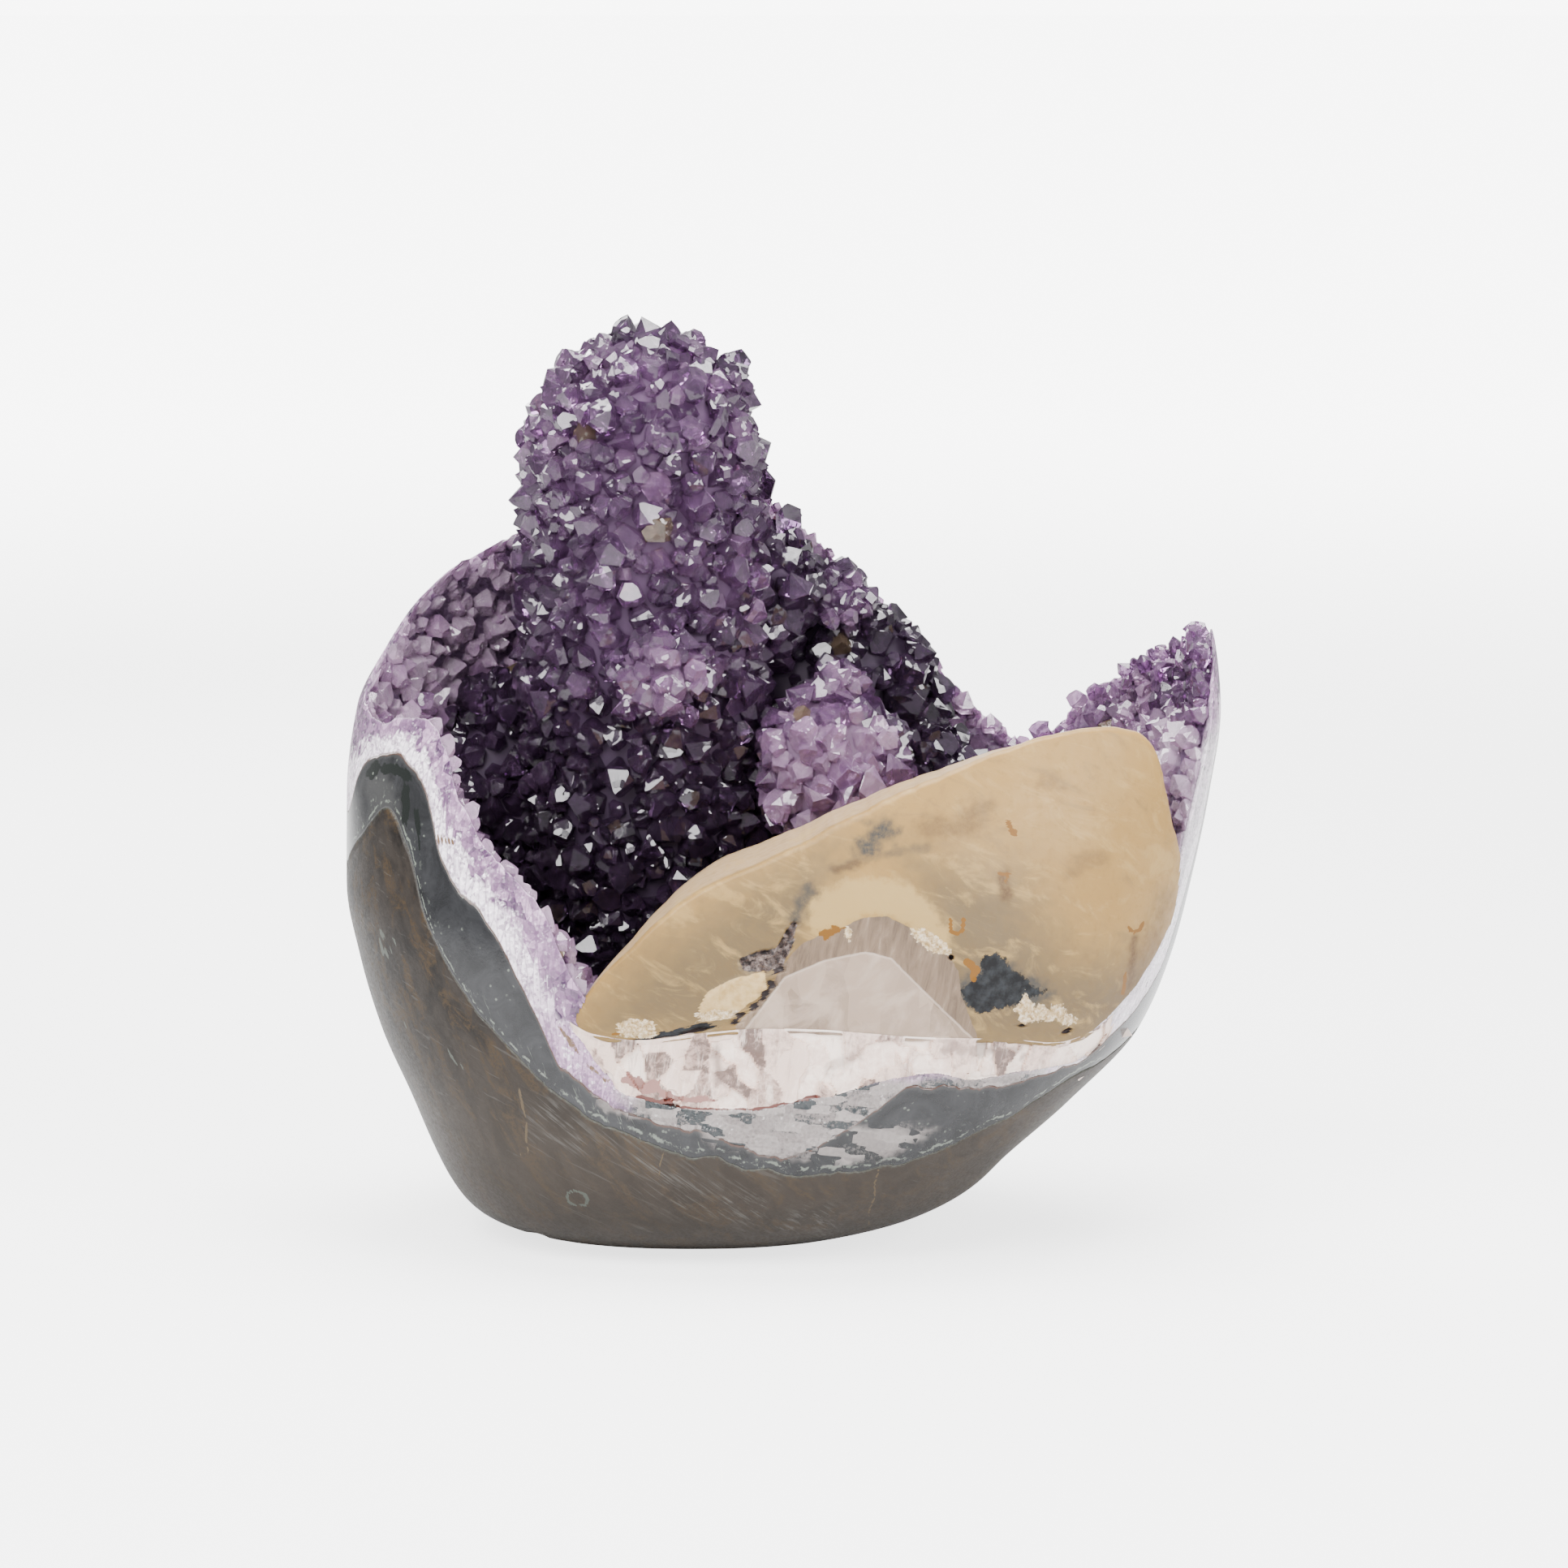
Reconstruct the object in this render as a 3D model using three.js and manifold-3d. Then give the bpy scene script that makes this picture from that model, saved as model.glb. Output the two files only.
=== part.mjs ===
// Amethyst druse: part of a basalt geode, sawn flat below and ground smooth all round, with its hollow left
// open to the front and above. From outside in it is basalt, a band of agate, and a quartz crust grown out
// into amethyst points. A stalactite covered with the same points stands in the hollow, and a large calcite
// crystal, bedded on blocky calcite spar and ground flush with the outside, fills the front right of it.
//
// Millimetres, +Z up. X runs to the right and Y to the back, seen from the front. The origin is on the
// surface that the stone stands on, below the middle of its bounding box.

import * as THREE from 'three';
import { mergeVertices } from 'three/addons/utils/BufferGeometryUtils.js';
import Module from 'manifold-3d';

// The ground outside of the stone: how far it reaches to each side at each height.
const OUTSIDE = [
  { z: 0, left: -49, right: 12, front: -27, back: 33 },
  { z: 2, left: -60, right: 21.5, front: -37, back: 42 },
  { z: 6, left: -67.5, right: 33.5, front: -46, back: 48 },
  { z: 11, left: -71.5, right: 42, front: -51.5, back: 52 },
  { z: 18, left: -75, right: 49, front: -56.5, back: 55 },
  { z: 30, left: -80, right: 62.3, front: -60.5, back: 58 },
  { z: 45, left: -86.6, right: 76.5, front: -62, back: 60.5 },
  { z: 60, left: -91, right: 83, front: -62, back: 62 },
  { z: 75, left: -93.7, right: 87, front: -60.5, back: 62 },
  { z: 95, left: -93.6, right: 91.2, front: -55, back: 60 },
  { z: 112, left: -91.5, right: 93.6, front: -46, back: 56 },
  { z: 125, left: -85, right: 92.5, front: -37, back: 50 },
  { z: 137, left: -76.7, right: 88, front: -27, back: 43 },
  { z: 147, left: -67.5, right: 80, front: -17, back: 35 },
  { z: 155, left: -58, right: 68, front: -8, back: 28 },
  { z: 162, left: -40, right: 40, front: 0, back: 20 },
];
const SQUARENESS = 2.3; // exponent of the superellipse that each level of the outside follows
const SEGMENTS = 39; // faces round the stone

// Where each layer ends on the outside: its height at each bearing, in degrees from +X towards +Y.
const BASALT_EDGE = [
  [0, 52], [20, 60], [40, 54], [60, 70], [85, 92], [110, 104], [140, 106], [160, 96], [178, 82], [186, 80],
  [194, 87], [201, 94], [206, 87], [212, 70], [220, 54], [228, 43], [240, 34], [255, 28], [272, 24.5],
  [290, 22], [304, 23.5], [318, 29], [334, 40], [346, 44],
];
const AGATE_EDGE = [
  [2, 112], [15, 106], [30, 88], [41, 76], [52, 84], [65, 104], [85, 124], [110, 134], [140, 132],
  [160, 120], [176, 98], [187, 91], [195, 103.5], [200, 105.5], [206, 101], [213, 84], [221, 74], [227, 61],
  [234, 44], [248, 35], [264, 31], [280, 26], [290, 32], [300, 41], [315, 39.5], [330, 42], [338, 49],
  [346, 58], [350, 76], [355, 106],
];
const QUARTZ_EDGE = [
  [0, 128], [14, 122], [29, 111], [37, 101], [42, 98], [50, 106], [60, 122], [74, 134], [92, 146],
  [120, 154], [150, 152], [165, 147], [178, 132], [187, 115], [195, 111.5], [202, 113.5], [208, 108],
  [214, 96], [221, 86], [229, 78], [236, 62], [246, 48], [262, 44], [290, 44], [320, 48], [336, 58],
  [342, 70], [347, 98], [353, 121],
];
const BASALT_FLOOR = 15; // lowest height of each layer's inner face, in the middle of the hollow
const AGATE_FLOOR = 21;
const QUARTZ_FLOOR = 34;
const WALL_OVERSHOOT = 1.12; // the walls would reach this share of the outside's radius, above their edge
const RIM_FLARE = 0.1; // the walls stand this share further in, below the flare at their edge
const WALL_STEPS = 4;
const NARROWEST = 45; // least reach of the outside from its middle
const CLEAR_OUT = 1.3; // above their edge the hollows open out to this share of the outside's radius,
const CLEAR_RISE = 14; // rising by this much on the way,
const CLEAR_TOP = 200; // and then up past the top of the stalactite,
const CLEAR_LEVEL = 150; // as wide there as the outside's outline at this height

// Stalactite: its outline from foot to top as radius and height, and where its middle is at each height.
const STALACTITE_OUTLINE = [
  [24, 26], [30, 52], [31, 80], [28, 105], [26.5, 125], [25.5, 143], [24.5, 158], [23.5, 167], [20.5, 175],
  [17.5, 181.5], [12, 188],
];
const STALACTITE_TOP = 190.5;
const STALACTITE_MIDDLE = [
  { z: 26, x: -22, y: 22 },
  { z: 60, x: -25, y: 21 },
  { z: 95, x: -28, y: 16 },
  { z: 125, x: -30, y: 10 },
  { z: 160, x: -30.5, y: 8 },
  { z: 191, x: -30, y: 8 },
];
const STALACTITE_NET = { rows: 22, columns: 21 };

// Rounded lumps that the stalactite carries: its foot to the right, and rosettes that stand proud of it.
const LUMPS = [
  { name: 'foot', at: [6, 25, 92], size: [32, 17, 44], net: { rows: 10, columns: 15 } },
  { name: 'low foot', at: [34, 23, 74], size: [18, 17, 28], net: { rows: 8, columns: 12 } },
  { name: 'left foot', at: [-60, 22, 84], size: [17, 15, 34], net: { rows: 8, columns: 12 } },
  { name: 'crown', at: [-29, 8, 184], size: [14, 14, 8.5], net: { rows: 5, columns: 12 } },
  { name: 'waist', at: [-33, -4, 147], size: [15, 13, 16], net: { rows: 7, columns: 12 } },
  { name: 'small rosette', at: [-26, -14, 122], size: [9, 10, 9.5], net: { rows: 6, columns: 12 } },
  { name: 'large rosette', at: [10.5, -4, 100], size: [14.5, 14, 16], net: { rows: 7, columns: 15 } },
  { name: 'large rosette tip', at: [11.5, 4, 114], size: [6, 8, 7], net: { rows: 5, columns: 9 } },
  { name: 'shoulder', at: [11, 20, 133], size: [8.5, 9, 8], net: { rows: 6, columns: 12 } },
  { name: 'shoulder root', at: [-4, 16, 134], size: [12, 11, 17], net: { rows: 6, columns: 12 } },
];

// Amethyst points: six-sided pyramids side by side in a net of triangles, every third vertex of which is a tip.
const TIP_HEIGHT = 4.6;
const TIP_SPREAD = 1.8; // how far a tip's height varies to each side
const SEAM_DEPTH = 0.9; // how deep the seams between the points lie at most
const SIDEWAYS = 1.5; // how far tips and seams wander sideways
const WALL_NET = { rows: 11, columns: 45 };
const BARE_FLOOR = 0.28; // the points on the wall start this far out from the middle of the hollow's floor
const BARE_RIM = 0.95; // and end here, short of the ground rim
const CLOSER_UP = 0.72; // below 1, the rows of points lie closer together up the wall
const WALL_SEED = 5;
const STALACTITE_SEED = 1;
const LUMP_SEED = 10;

// Calcite: the outline of the crystal's ground face, in X and Z, and its depth behind the outside.
const CALCITE_OUTLINE = [
  [-43.6, 54.8], [-34, 65.5], [-17.5, 80.5], [-6, 87.5], [16, 97.5], [33, 104.5], [46, 109], [57, 111.3],
  [68, 112], [75.5, 109.5], [80, 101], [84, 84], [83, 71], [78, 59.5], [70, 52], [50, 50.5], [0, 50.5],
  [-38, 50.5],
];
const CALCITE_MIDDLE = [20, 80];
const CALCITE_HALF_WIDTH = 60;
const CALCITE_HALF_HEIGHT = 20;
const CALCITE_BACK = -20;
const CALCITE_FACES = [ // its natural faces behind the ground one
  { through: [20, -36, 100], facing: [-0.15, 0.75, 0.75] },
  { through: [-20, -34, 70], facing: [-0.8, 0.75, 0] },
  { through: [66, -20, 80], facing: [0.6, 0.75, 0] },
];
const SPAR_LEFT = -60;
const SPAR_RIGHT = 90;
const SPAR_TOP = 50;
const SPAR_BACK = -30;
const FRONT_REACH = -75; // in front of everything

const GAP = 0.3; // left between neighbouring pieces
const SAME_PLACE = 1e-3; // vertices that are closer than this are one

const wasm = await Module();
wasm.setup();

/** Smooth interpolation through [x, y] pairs in order of x, which never overshoots a pair. */
function smoothThrough(pairs, x) {
  const slope = (i) => (pairs[i + 1][1] - pairs[i][1]) / (pairs[i + 1][0] - pairs[i][0]);
  const last = pairs.length - 1;
  const at = THREE.MathUtils.clamp(x, pairs[0][0], pairs[last][0]);
  let i = 0;
  while (i < last - 1 && at > pairs[i + 1][0]) i += 1;
  const tangent = (k) => {
    if (k === 0) return slope(0);
    if (k === last) return slope(last - 1);
    const before = slope(k - 1);
    const after = slope(k);
    return before * after > 0 ? (2 * before * after) / (before + after) : 0;
  };
  const width = pairs[i + 1][0] - pairs[i][0];
  const t = (at - pairs[i][0]) / width;
  const t2 = t * t;
  const t3 = t2 * t;
  return (2 * t3 - 3 * t2 + 1) * pairs[i][1] + (t3 - 2 * t2 + t) * width * tangent(i)
    + (3 * t2 - 2 * t3) * pairs[i + 1][1] + (t3 - t2) * width * tangent(i + 1);
}

/** One measure of a table of levels, at a height. */
function levelAt(levels, measure, z) {
  return smoothThrough(levels.map((level) => [level.z, level[measure]]), z);
}

/** Height of a layer's edge at a bearing in radians; the table runs right round. */
function edgeHeight(edge, bearing) {
  const degrees = THREE.MathUtils.euclideanModulo(THREE.MathUtils.radToDeg(bearing), 360);
  const shift = (turn) => edge.map(([angle, z]) => [angle + turn, z]);
  return smoothThrough([...shift(-360).slice(-2), ...edge, ...shift(360).slice(0, 2)], degrees);
}

/** A point of the stone at a bearing and height, at a share of the way from its middle to its outside. */
function stonePoint(bearing, share, z) {
  const sides = ['left', 'right', 'front', 'back'];
  const [left, right, front, back] = sides.map((side) => levelAt(OUTSIDE, side, z));
  const across = Math.abs(Math.cos(bearing)) / ((right - left) / 2);
  const along = Math.abs(Math.sin(bearing)) / ((back - front) / 2);
  const radius = share / (across ** SQUARENESS + along ** SQUARENESS) ** (1 / SQUARENESS);
  return new THREE.Vector3(
    (left + right) / 2 + radius * Math.cos(bearing),
    (front + back) / 2 + radius * Math.sin(bearing),
    z,
  );
}

/** A geometry as a closed solid: only its positions count, and faces that shrank to a line go. */
function solid(geometry) {
  const loose = geometry.index ? geometry.toNonIndexed() : geometry;
  const bare = new THREE.BufferGeometry().setAttribute('position', loose.getAttribute('position'));
  const merged = mergeVertices(bare, SAME_PLACE);
  const corners = merged.index.array;
  const kept = [];
  for (let i = 0; i < corners.length; i += 3) {
    const [a, b, c] = [corners[i], corners[i + 1], corners[i + 2]];
    if (a !== b && b !== c && c !== a) kept.push(a, b, c);
  }
  return new wasm.Manifold(new wasm.Mesh({
    numProp: 3,
    vertProperties: merged.attributes.position.array,
    triVerts: new Uint32Array(kept),
  }));
}

/** A closed net of triangles round an axis: place(column, row) gives its vertices. Its end rows are points. */
function net(rows, columns, place) {
  const profile = [];
  for (let row = 0; row <= rows; row += 1) profile.push(new THREE.Vector2(row % rows ? 1 : 0, row));
  const geometry = new THREE.LatheGeometry(profile, columns);
  const position = geometry.getAttribute('position');
  for (let i = 0; i < position.count; i += 1) {
    const column = Math.floor(i / profile.length) % columns;
    const moved = place(column, i % profile.length);
    position.setXYZ(i, moved.x, moved.y, moved.z);
  }
  return solid(geometry);
}

/** The whole boulder, as if it were not hollow. */
function boulder() {
  const last = OUTSIDE.length - 1;
  return net(OUTSIDE.length + 1, SEGMENTS, (column, row) => {
    const isEnd = row === 0 || row > last + 1;
    const { z } = OUTSIDE[THREE.MathUtils.clamp(row - 1, 0, last)];
    return stonePoint((column * 2 * Math.PI) / SEGMENTS, isEnd ? 0 : 1, z);
  });
}

/** A point on a hollow's wall: step runs from 0 in the middle of its floor to 1 at its edge. */
function wallPoint(edge, floor, bearing, step, inset = 0) {
  const edgeAngle = Math.asin(1 / WALL_OVERSHOOT);
  const angle = step * edgeAngle;
  const rise = (1 - Math.cos(angle)) / (1 - Math.cos(edgeAngle));
  const z = floor + (edgeHeight(edge, bearing) - floor) * rise;
  const flare = 1 - RIM_FLARE * (1 - step ** 4);
  return stonePoint(bearing, WALL_OVERSHOOT * Math.sin(angle) * flare * (1 - inset / NARROWEST), z + inset);
}

/** The part of a hollow above its wall, from the wall's edge outwards, up and back to the middle. */
function aboveWall(edge, bearing, stage, inset) {
  const rim = edgeHeight(edge, bearing) + inset;
  if (stage === 1) return stonePoint(bearing, CLEAR_OUT, rim).setZ(rim + CLEAR_RISE);
  return stonePoint(bearing, stage === 2 ? CLEAR_OUT : 0, CLEAR_LEVEL).setZ(CLEAR_TOP);
}

/** Everything inside a layer's inner face, drawn in by an inset, and open above the layer's edge. */
function hollow(edge, floor, inset = 0) {
  return net(WALL_STEPS + 3, SEGMENTS, (column, row) => {
    const bearing = (column * 2 * Math.PI) / SEGMENTS;
    if (row > WALL_STEPS) return aboveWall(edge, bearing, row - WALL_STEPS, inset);
    return wallPoint(edge, floor, bearing, row / WALL_STEPS, inset);
  });
}

/** A value from -1 to 1 that differs from one vertex of a net to the next, the same on every run. */
function scatter(column, row, seed) {
  const wave = Math.sin(column * 12.9898 + row * 78.233 + seed * 37.719) * 43758.5453;
  return 2 * (wave - Math.floor(wave)) - 1;
}

/** A vertex of a net on a smooth surface, moved to a crystal's tip or to a seam; side is -1 in a hollow. */
function crystalPoint(surface, bearing, share, column, row, seed, margin, side = 1) {
  const SMALL = 1e-3;
  const place = surface(bearing, share);
  const round = surface(bearing + SMALL, share).sub(place).normalize();
  const climb = surface(bearing, share + SMALL).sub(place).normalize();
  const outward = new THREE.Vector3().crossVectors(round, climb).normalize();
  const isTip = (column + 2 * row) % 3 === 0;
  const chance = scatter(column, row, seed);
  const lift = isTip ? TIP_HEIGHT + TIP_SPREAD * chance : SEAM_DEPTH * chance;
  return place
    .addScaledVector(outward, side * lift + margin)
    .addScaledVector(round, SIDEWAYS * scatter(column, row, seed + 1))
    .addScaledVector(climb, SIDEWAYS * scatter(column, row, seed + 2));
}

/** Everything inside the crust's inner face, which is covered with crystals up to its rim. */
function crystalHollow(edge, floor) {
  const { rows, columns } = WALL_NET;
  const wall = (bearing, share) => wallPoint(edge, floor, bearing, share);
  return net(rows + 4, columns, (column, row) => {
    const twist = Math.min(row, rows) / 2;
    const bearing = ((column + twist) * 2 * Math.PI) / columns;
    if (row > rows + 1) return aboveWall(edge, bearing, row - rows - 1, 0);
    const share = BARE_FLOOR + (BARE_RIM - BARE_FLOOR) * ((row - 1) / (rows - 1)) ** CLOSER_UP;
    if (row === 0 || row > rows) return wall(bearing, row === 0 ? 0 : 1);
    if (row === rows) return wall(bearing, BARE_RIM);
    return crystalPoint(wall, bearing, share, column, row, WALL_SEED, 0, -1);
  });
}

/** Middle of the bare stalactite at a height. */
function stalactiteMiddle(z) {
  return new THREE.Vector3(levelAt(STALACTITE_MIDDLE, 'x', z), levelAt(STALACTITE_MIDDLE, 'y', z), z);
}

/** A closed round body covered with crystals; surface(bearing, share) runs from its lower end to its upper. */
function crystalBody({ rows, columns }, surface, seed, margin) {
  return net(rows, columns, (column, row) => {
    const bearing = ((column + row / 2) * 2 * Math.PI) / columns;
    if (row === 0) return surface(0, 0).sub(new THREE.Vector3(0, 0, margin));
    if (row === rows) return surface(0, 1).add(new THREE.Vector3(0, 0, TIP_HEIGHT / 2 + margin));
    return crystalPoint(surface, bearing, row / rows, column, row, seed, margin);
  });
}

/** The stalactite's stem with its crystals, grown by a margin. */
function stem(margin) {
  const ends = [[0, STALACTITE_OUTLINE[0][1]], ...STALACTITE_OUTLINE, [0, STALACTITE_TOP]];
  const outline = new THREE.SplineCurve(ends.map(([r, z]) => new THREE.Vector2(r, z)));
  return crystalBody(STALACTITE_NET, (bearing, share) => {
    const { x: radius, y: z } = outline.getPointAt(THREE.MathUtils.clamp(share, 0, 1));
    const out = new THREE.Vector3(Math.cos(bearing), Math.sin(bearing), 0);
    return out.multiplyScalar(Math.max(radius, 0)).add(stalactiteMiddle(z));
  }, STALACTITE_SEED, margin);
}

/** One lump with its crystals, grown by a margin. */
function lumpBody(lump, seed, margin) {
  const [width, depth, height] = lump.size;
  return crystalBody(lump.net, (bearing, share) => {
    const polar = Math.PI * (1 - share);
    return new THREE.Vector3(
      width * Math.sin(polar) * Math.cos(bearing),
      depth * Math.sin(polar) * Math.sin(bearing),
      height * Math.cos(polar),
    ).add(new THREE.Vector3(...lump.at));
  }, seed, margin);
}

/** The stalactite with its lumps, grown by a margin where it cuts a neighbour. */
function stalactite(margin) {
  const lumps = LUMPS.map((lump, i) => lumpBody(lump, LUMP_SEED * (i + 1), margin));
  return wasm.Manifold.union([stem(margin), ...lumps]);
}

/** A half-space beyond a plane through a place, cut to a box, whose outward side faces the given way. */
function beyondPlane(place, facing) {
  const SIZE = 300;
  const box = new THREE.BoxGeometry(SIZE, SIZE, SIZE);
  box.translate(0, 0, SIZE / 2);
  const way = new THREE.Vector3(...facing).normalize();
  box.applyQuaternion(new THREE.Quaternion().setFromUnitVectors(new THREE.Vector3(0, 0, 1), way));
  box.translate(...place.toArray());
  return solid(box);
}

/** The calcite crystal before it is ground flush: its outline drawn back, cut by its natural faces. */
function calciteBlock(margin) {
  const [middleX, middleZ] = CALCITE_MIDDLE;
  const grown = (value, middle, half) => middle + (value - middle) * (1 + margin / half);
  const outline = new THREE.Shape(CALCITE_OUTLINE.map(([x, z]) => new THREE.Vector2(
    grown(x, middleX, CALCITE_HALF_WIDTH),
    grown(z, middleZ, CALCITE_HALF_HEIGHT),
  )));
  const back = CALCITE_BACK + margin;
  const block = new THREE.ExtrudeGeometry(outline, { depth: back - FRONT_REACH, bevelEnabled: false });
  block.rotateX(Math.PI / 2);
  block.translate(0, back, 0);
  return CALCITE_FACES.reduce((left, face) => {
    const way = new THREE.Vector3(...face.facing).setLength(margin);
    return left.subtract(beyondPlane(new THREE.Vector3(...face.through).add(way), face.facing));
  }, solid(block));
}

/** The blocky spar that the calcite crystal is bedded on, before it is ground flush. */
function sparBlock(margin) {
  const low = [SPAR_LEFT, FRONT_REACH, 0];
  const high = [SPAR_RIGHT, SPAR_BACK + margin, SPAR_TOP + margin];
  const box = new THREE.BoxGeometry(...high.map((value, i) => value - low[i]));
  box.translate(...high.map((value, i) => (value + low[i]) / 2));
  return solid(box);
}

/** The largest body of a solid, without the crumbs that a cut can leave. */
function largestBody(whole) {
  return whole.decompose().reduce((best, body) => (body.volume() > best.volume() ? body : best));
}

/** A solid as a named mesh in its own finish. */
function piece(name, whole, finish) {
  const { vertProperties, triVerts } = largestBody(whole).getMesh();
  const geometry = new THREE.BufferGeometry();
  geometry.setAttribute('position', new THREE.BufferAttribute(new Float32Array(vertProperties), 3));
  geometry.setIndex(new THREE.BufferAttribute(new Uint32Array(triVerts), 1));
  geometry.computeVertexNormals();
  const mesh = new THREE.Mesh(geometry, new THREE.MeshStandardMaterial({ flatShading: true, ...finish }));
  mesh.name = name;
  return mesh;
}

const stone = boulder();
const insideBasalt = hollow(BASALT_EDGE, BASALT_FLOOR);
const insideAgate = hollow(AGATE_EDGE, AGATE_FLOOR);
const insideCrust = hollow(QUARTZ_EDGE, QUARTZ_FLOOR);
const agateReach = stone.intersect(hollow(BASALT_EDGE, BASALT_FLOOR, GAP));
const crustReach = stone.intersect(hollow(AGATE_EDGE, AGATE_FLOOR, GAP));
const hollowReach = hollow(QUARTZ_EDGE, QUARTZ_FLOOR, GAP);

const spar = crustReach.intersect(sparBlock(0));
const column = stalactite(0).intersect(hollowReach);
const columnRoom = stalactite(GAP).intersect(insideCrust);
const calcite = calciteBlock(0).intersect(stone).intersect(hollowReach).subtract(columnRoom);
const crust = crustReach
  .subtract(crystalHollow(QUARTZ_EDGE, QUARTZ_FLOOR))
  .subtract(columnRoom)
  .subtract(calciteBlock(GAP))
  .subtract(sparBlock(GAP));

const druse = new THREE.Group();
druse.add(piece('basalt_rind', stone.subtract(insideBasalt), { color: 0x6b645d, roughness: 0.35 }));
druse.add(piece('agate_band', agateReach.subtract(insideAgate), { color: 0x4a565c, roughness: 0.2 }));
druse.add(piece('amethyst_crust', crust, { color: 0x6f5886, roughness: 0.15 }));
druse.add(piece('amethyst_stalactite', column, { color: 0x5d4a72, roughness: 0.15 }));
druse.add(piece('calcite_spar', spar, { color: 0xcfc4bd, roughness: 0.4 }));
druse.add(piece('calcite_crystal', calcite, { color: 0xd8c09a, roughness: 0.35 }));

export default druse;
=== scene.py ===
"""Amethyst druse: part of a basalt geode, ground smooth all round, with a stalactite in its open hollow.

Every size below is in millimetres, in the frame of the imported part: X to the right, Y to the back, Z up.
"""
import logging
import math
from dataclasses import dataclass, field
from enum import Enum
from functools import cached_property, reduce
from typing import Callable, Optional, Sequence

import bpy
import numpy as np
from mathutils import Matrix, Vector, noise


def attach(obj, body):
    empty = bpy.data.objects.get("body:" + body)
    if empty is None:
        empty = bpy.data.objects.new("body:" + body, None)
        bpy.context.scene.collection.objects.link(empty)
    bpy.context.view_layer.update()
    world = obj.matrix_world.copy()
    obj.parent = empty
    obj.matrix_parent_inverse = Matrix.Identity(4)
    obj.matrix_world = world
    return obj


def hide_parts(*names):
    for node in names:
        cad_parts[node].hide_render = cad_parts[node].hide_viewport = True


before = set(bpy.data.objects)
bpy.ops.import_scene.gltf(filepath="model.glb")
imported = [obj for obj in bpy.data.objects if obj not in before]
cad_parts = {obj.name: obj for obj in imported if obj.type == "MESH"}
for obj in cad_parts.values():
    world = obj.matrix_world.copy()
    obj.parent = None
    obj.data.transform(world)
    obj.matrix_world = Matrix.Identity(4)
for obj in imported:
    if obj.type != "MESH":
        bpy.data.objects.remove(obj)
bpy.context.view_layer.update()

MM = 0.001
SEED = 61
ROOT = 3.6  # how deep a crystal runs on below its foot at most, in mm
Array = np.ndarray
Point = tuple[float, float, float]
Colour = Point
Pairs = tuple[tuple[float, float], ...]
Models = list[tuple[Array, Array, Array]]  # of each crystal: vertices, face corners and face sizes
Socket = bpy.types.NodeSocket
Piece = bpy.types.Object
Material = bpy.types.Material
log = logging.getLogger("druse")


class Slot(Enum):
    """Material slots of the record."""

    BASALT = "basalt"
    AGATE = "agate"
    AMETHYST = "amethyst"
    WHITE_CALCITE = "white_calcite"
    HONEY_CALCITE = "honey_calcite"


# Shapes of the stone


@dataclass(frozen=True)
class SmoothCurve:
    """Values through pairs in order of their first number, which never overshoot a pair.

    Args:
        pairs: where the curve passes.
        turn: the length of one turn, for a curve that runs right round; 0 for an open one.
    """

    pairs: Pairs
    turn: float = 0.0

    def __call__(self, x: Array) -> Array:
        """Gives the curve's values at x."""
        pairs = list(self.pairs)
        if self.turn:
            pairs = (
                [(a - self.turn, b) for a, b in pairs[-2:]]
                + pairs
                + [(a + self.turn, b) for a, b in pairs[:2]]
            )
            x = np.mod(x, self.turn)
        xs, ys = np.array(pairs, float).T
        x = np.clip(x, xs[0], xs[-1])
        width = np.diff(xs)
        slope = np.diff(ys) / width
        rising = slope[1:] * slope[:-1] > 0
        total = np.where(rising, slope[1:] + slope[:-1], 1.0)
        tangent = np.empty_like(ys)
        tangent[1:-1] = np.where(rising, 2 * slope[1:] * slope[:-1] / total, 0.0)
        tangent[0], tangent[-1] = slope[0], slope[-1]
        i = np.clip(np.searchsorted(xs, x, side="right") - 1, 0, len(width) - 1)
        t = (x - xs[i]) / width[i]
        return (
            (2 * t**3 - 3 * t**2 + 1) * ys[i]
            + (t**3 - 2 * t**2 + t) * width[i] * tangent[i]
            + (3 * t**2 - 2 * t**3) * ys[i + 1]
            + (t**3 - t**2) * width[i] * tangent[i + 1]
        )


def place(x: Array, y: Array, z: Array) -> Array:
    """Stacks coordinates into points."""
    return np.stack(np.broadcast_arrays(x, y, z), axis=-1).astype(float)


def grain(points: Array, size: float, octaves: int = 3, offset: float = 0.0) -> Array:
    """Smooth noise from about -1 to 1 at points.

    Args:
        points: where, in mm.
        size: the width of its largest grains, in mm.
        octaves: how many finer layers it has.
        offset: another value gives another pattern.

    Returns:
        One value for each point.
    """
    flat = (np.asarray(points, float).reshape(-1, 3) / size + offset).tolist()
    values = [noise.fractal(p, 1.0, 2.0, octaves) for p in flat]
    return np.array(values).reshape(np.shape(points)[:-1])


def smooth_step(value: Array, low: float, high: float) -> Array:
    """Runs from 0 at low to 1 at high, with soft ends; low may be the larger."""
    t = np.clip((value - low) / (high - low), 0.0, 1.0)
    return t * t * (3 - 2 * t)


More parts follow.
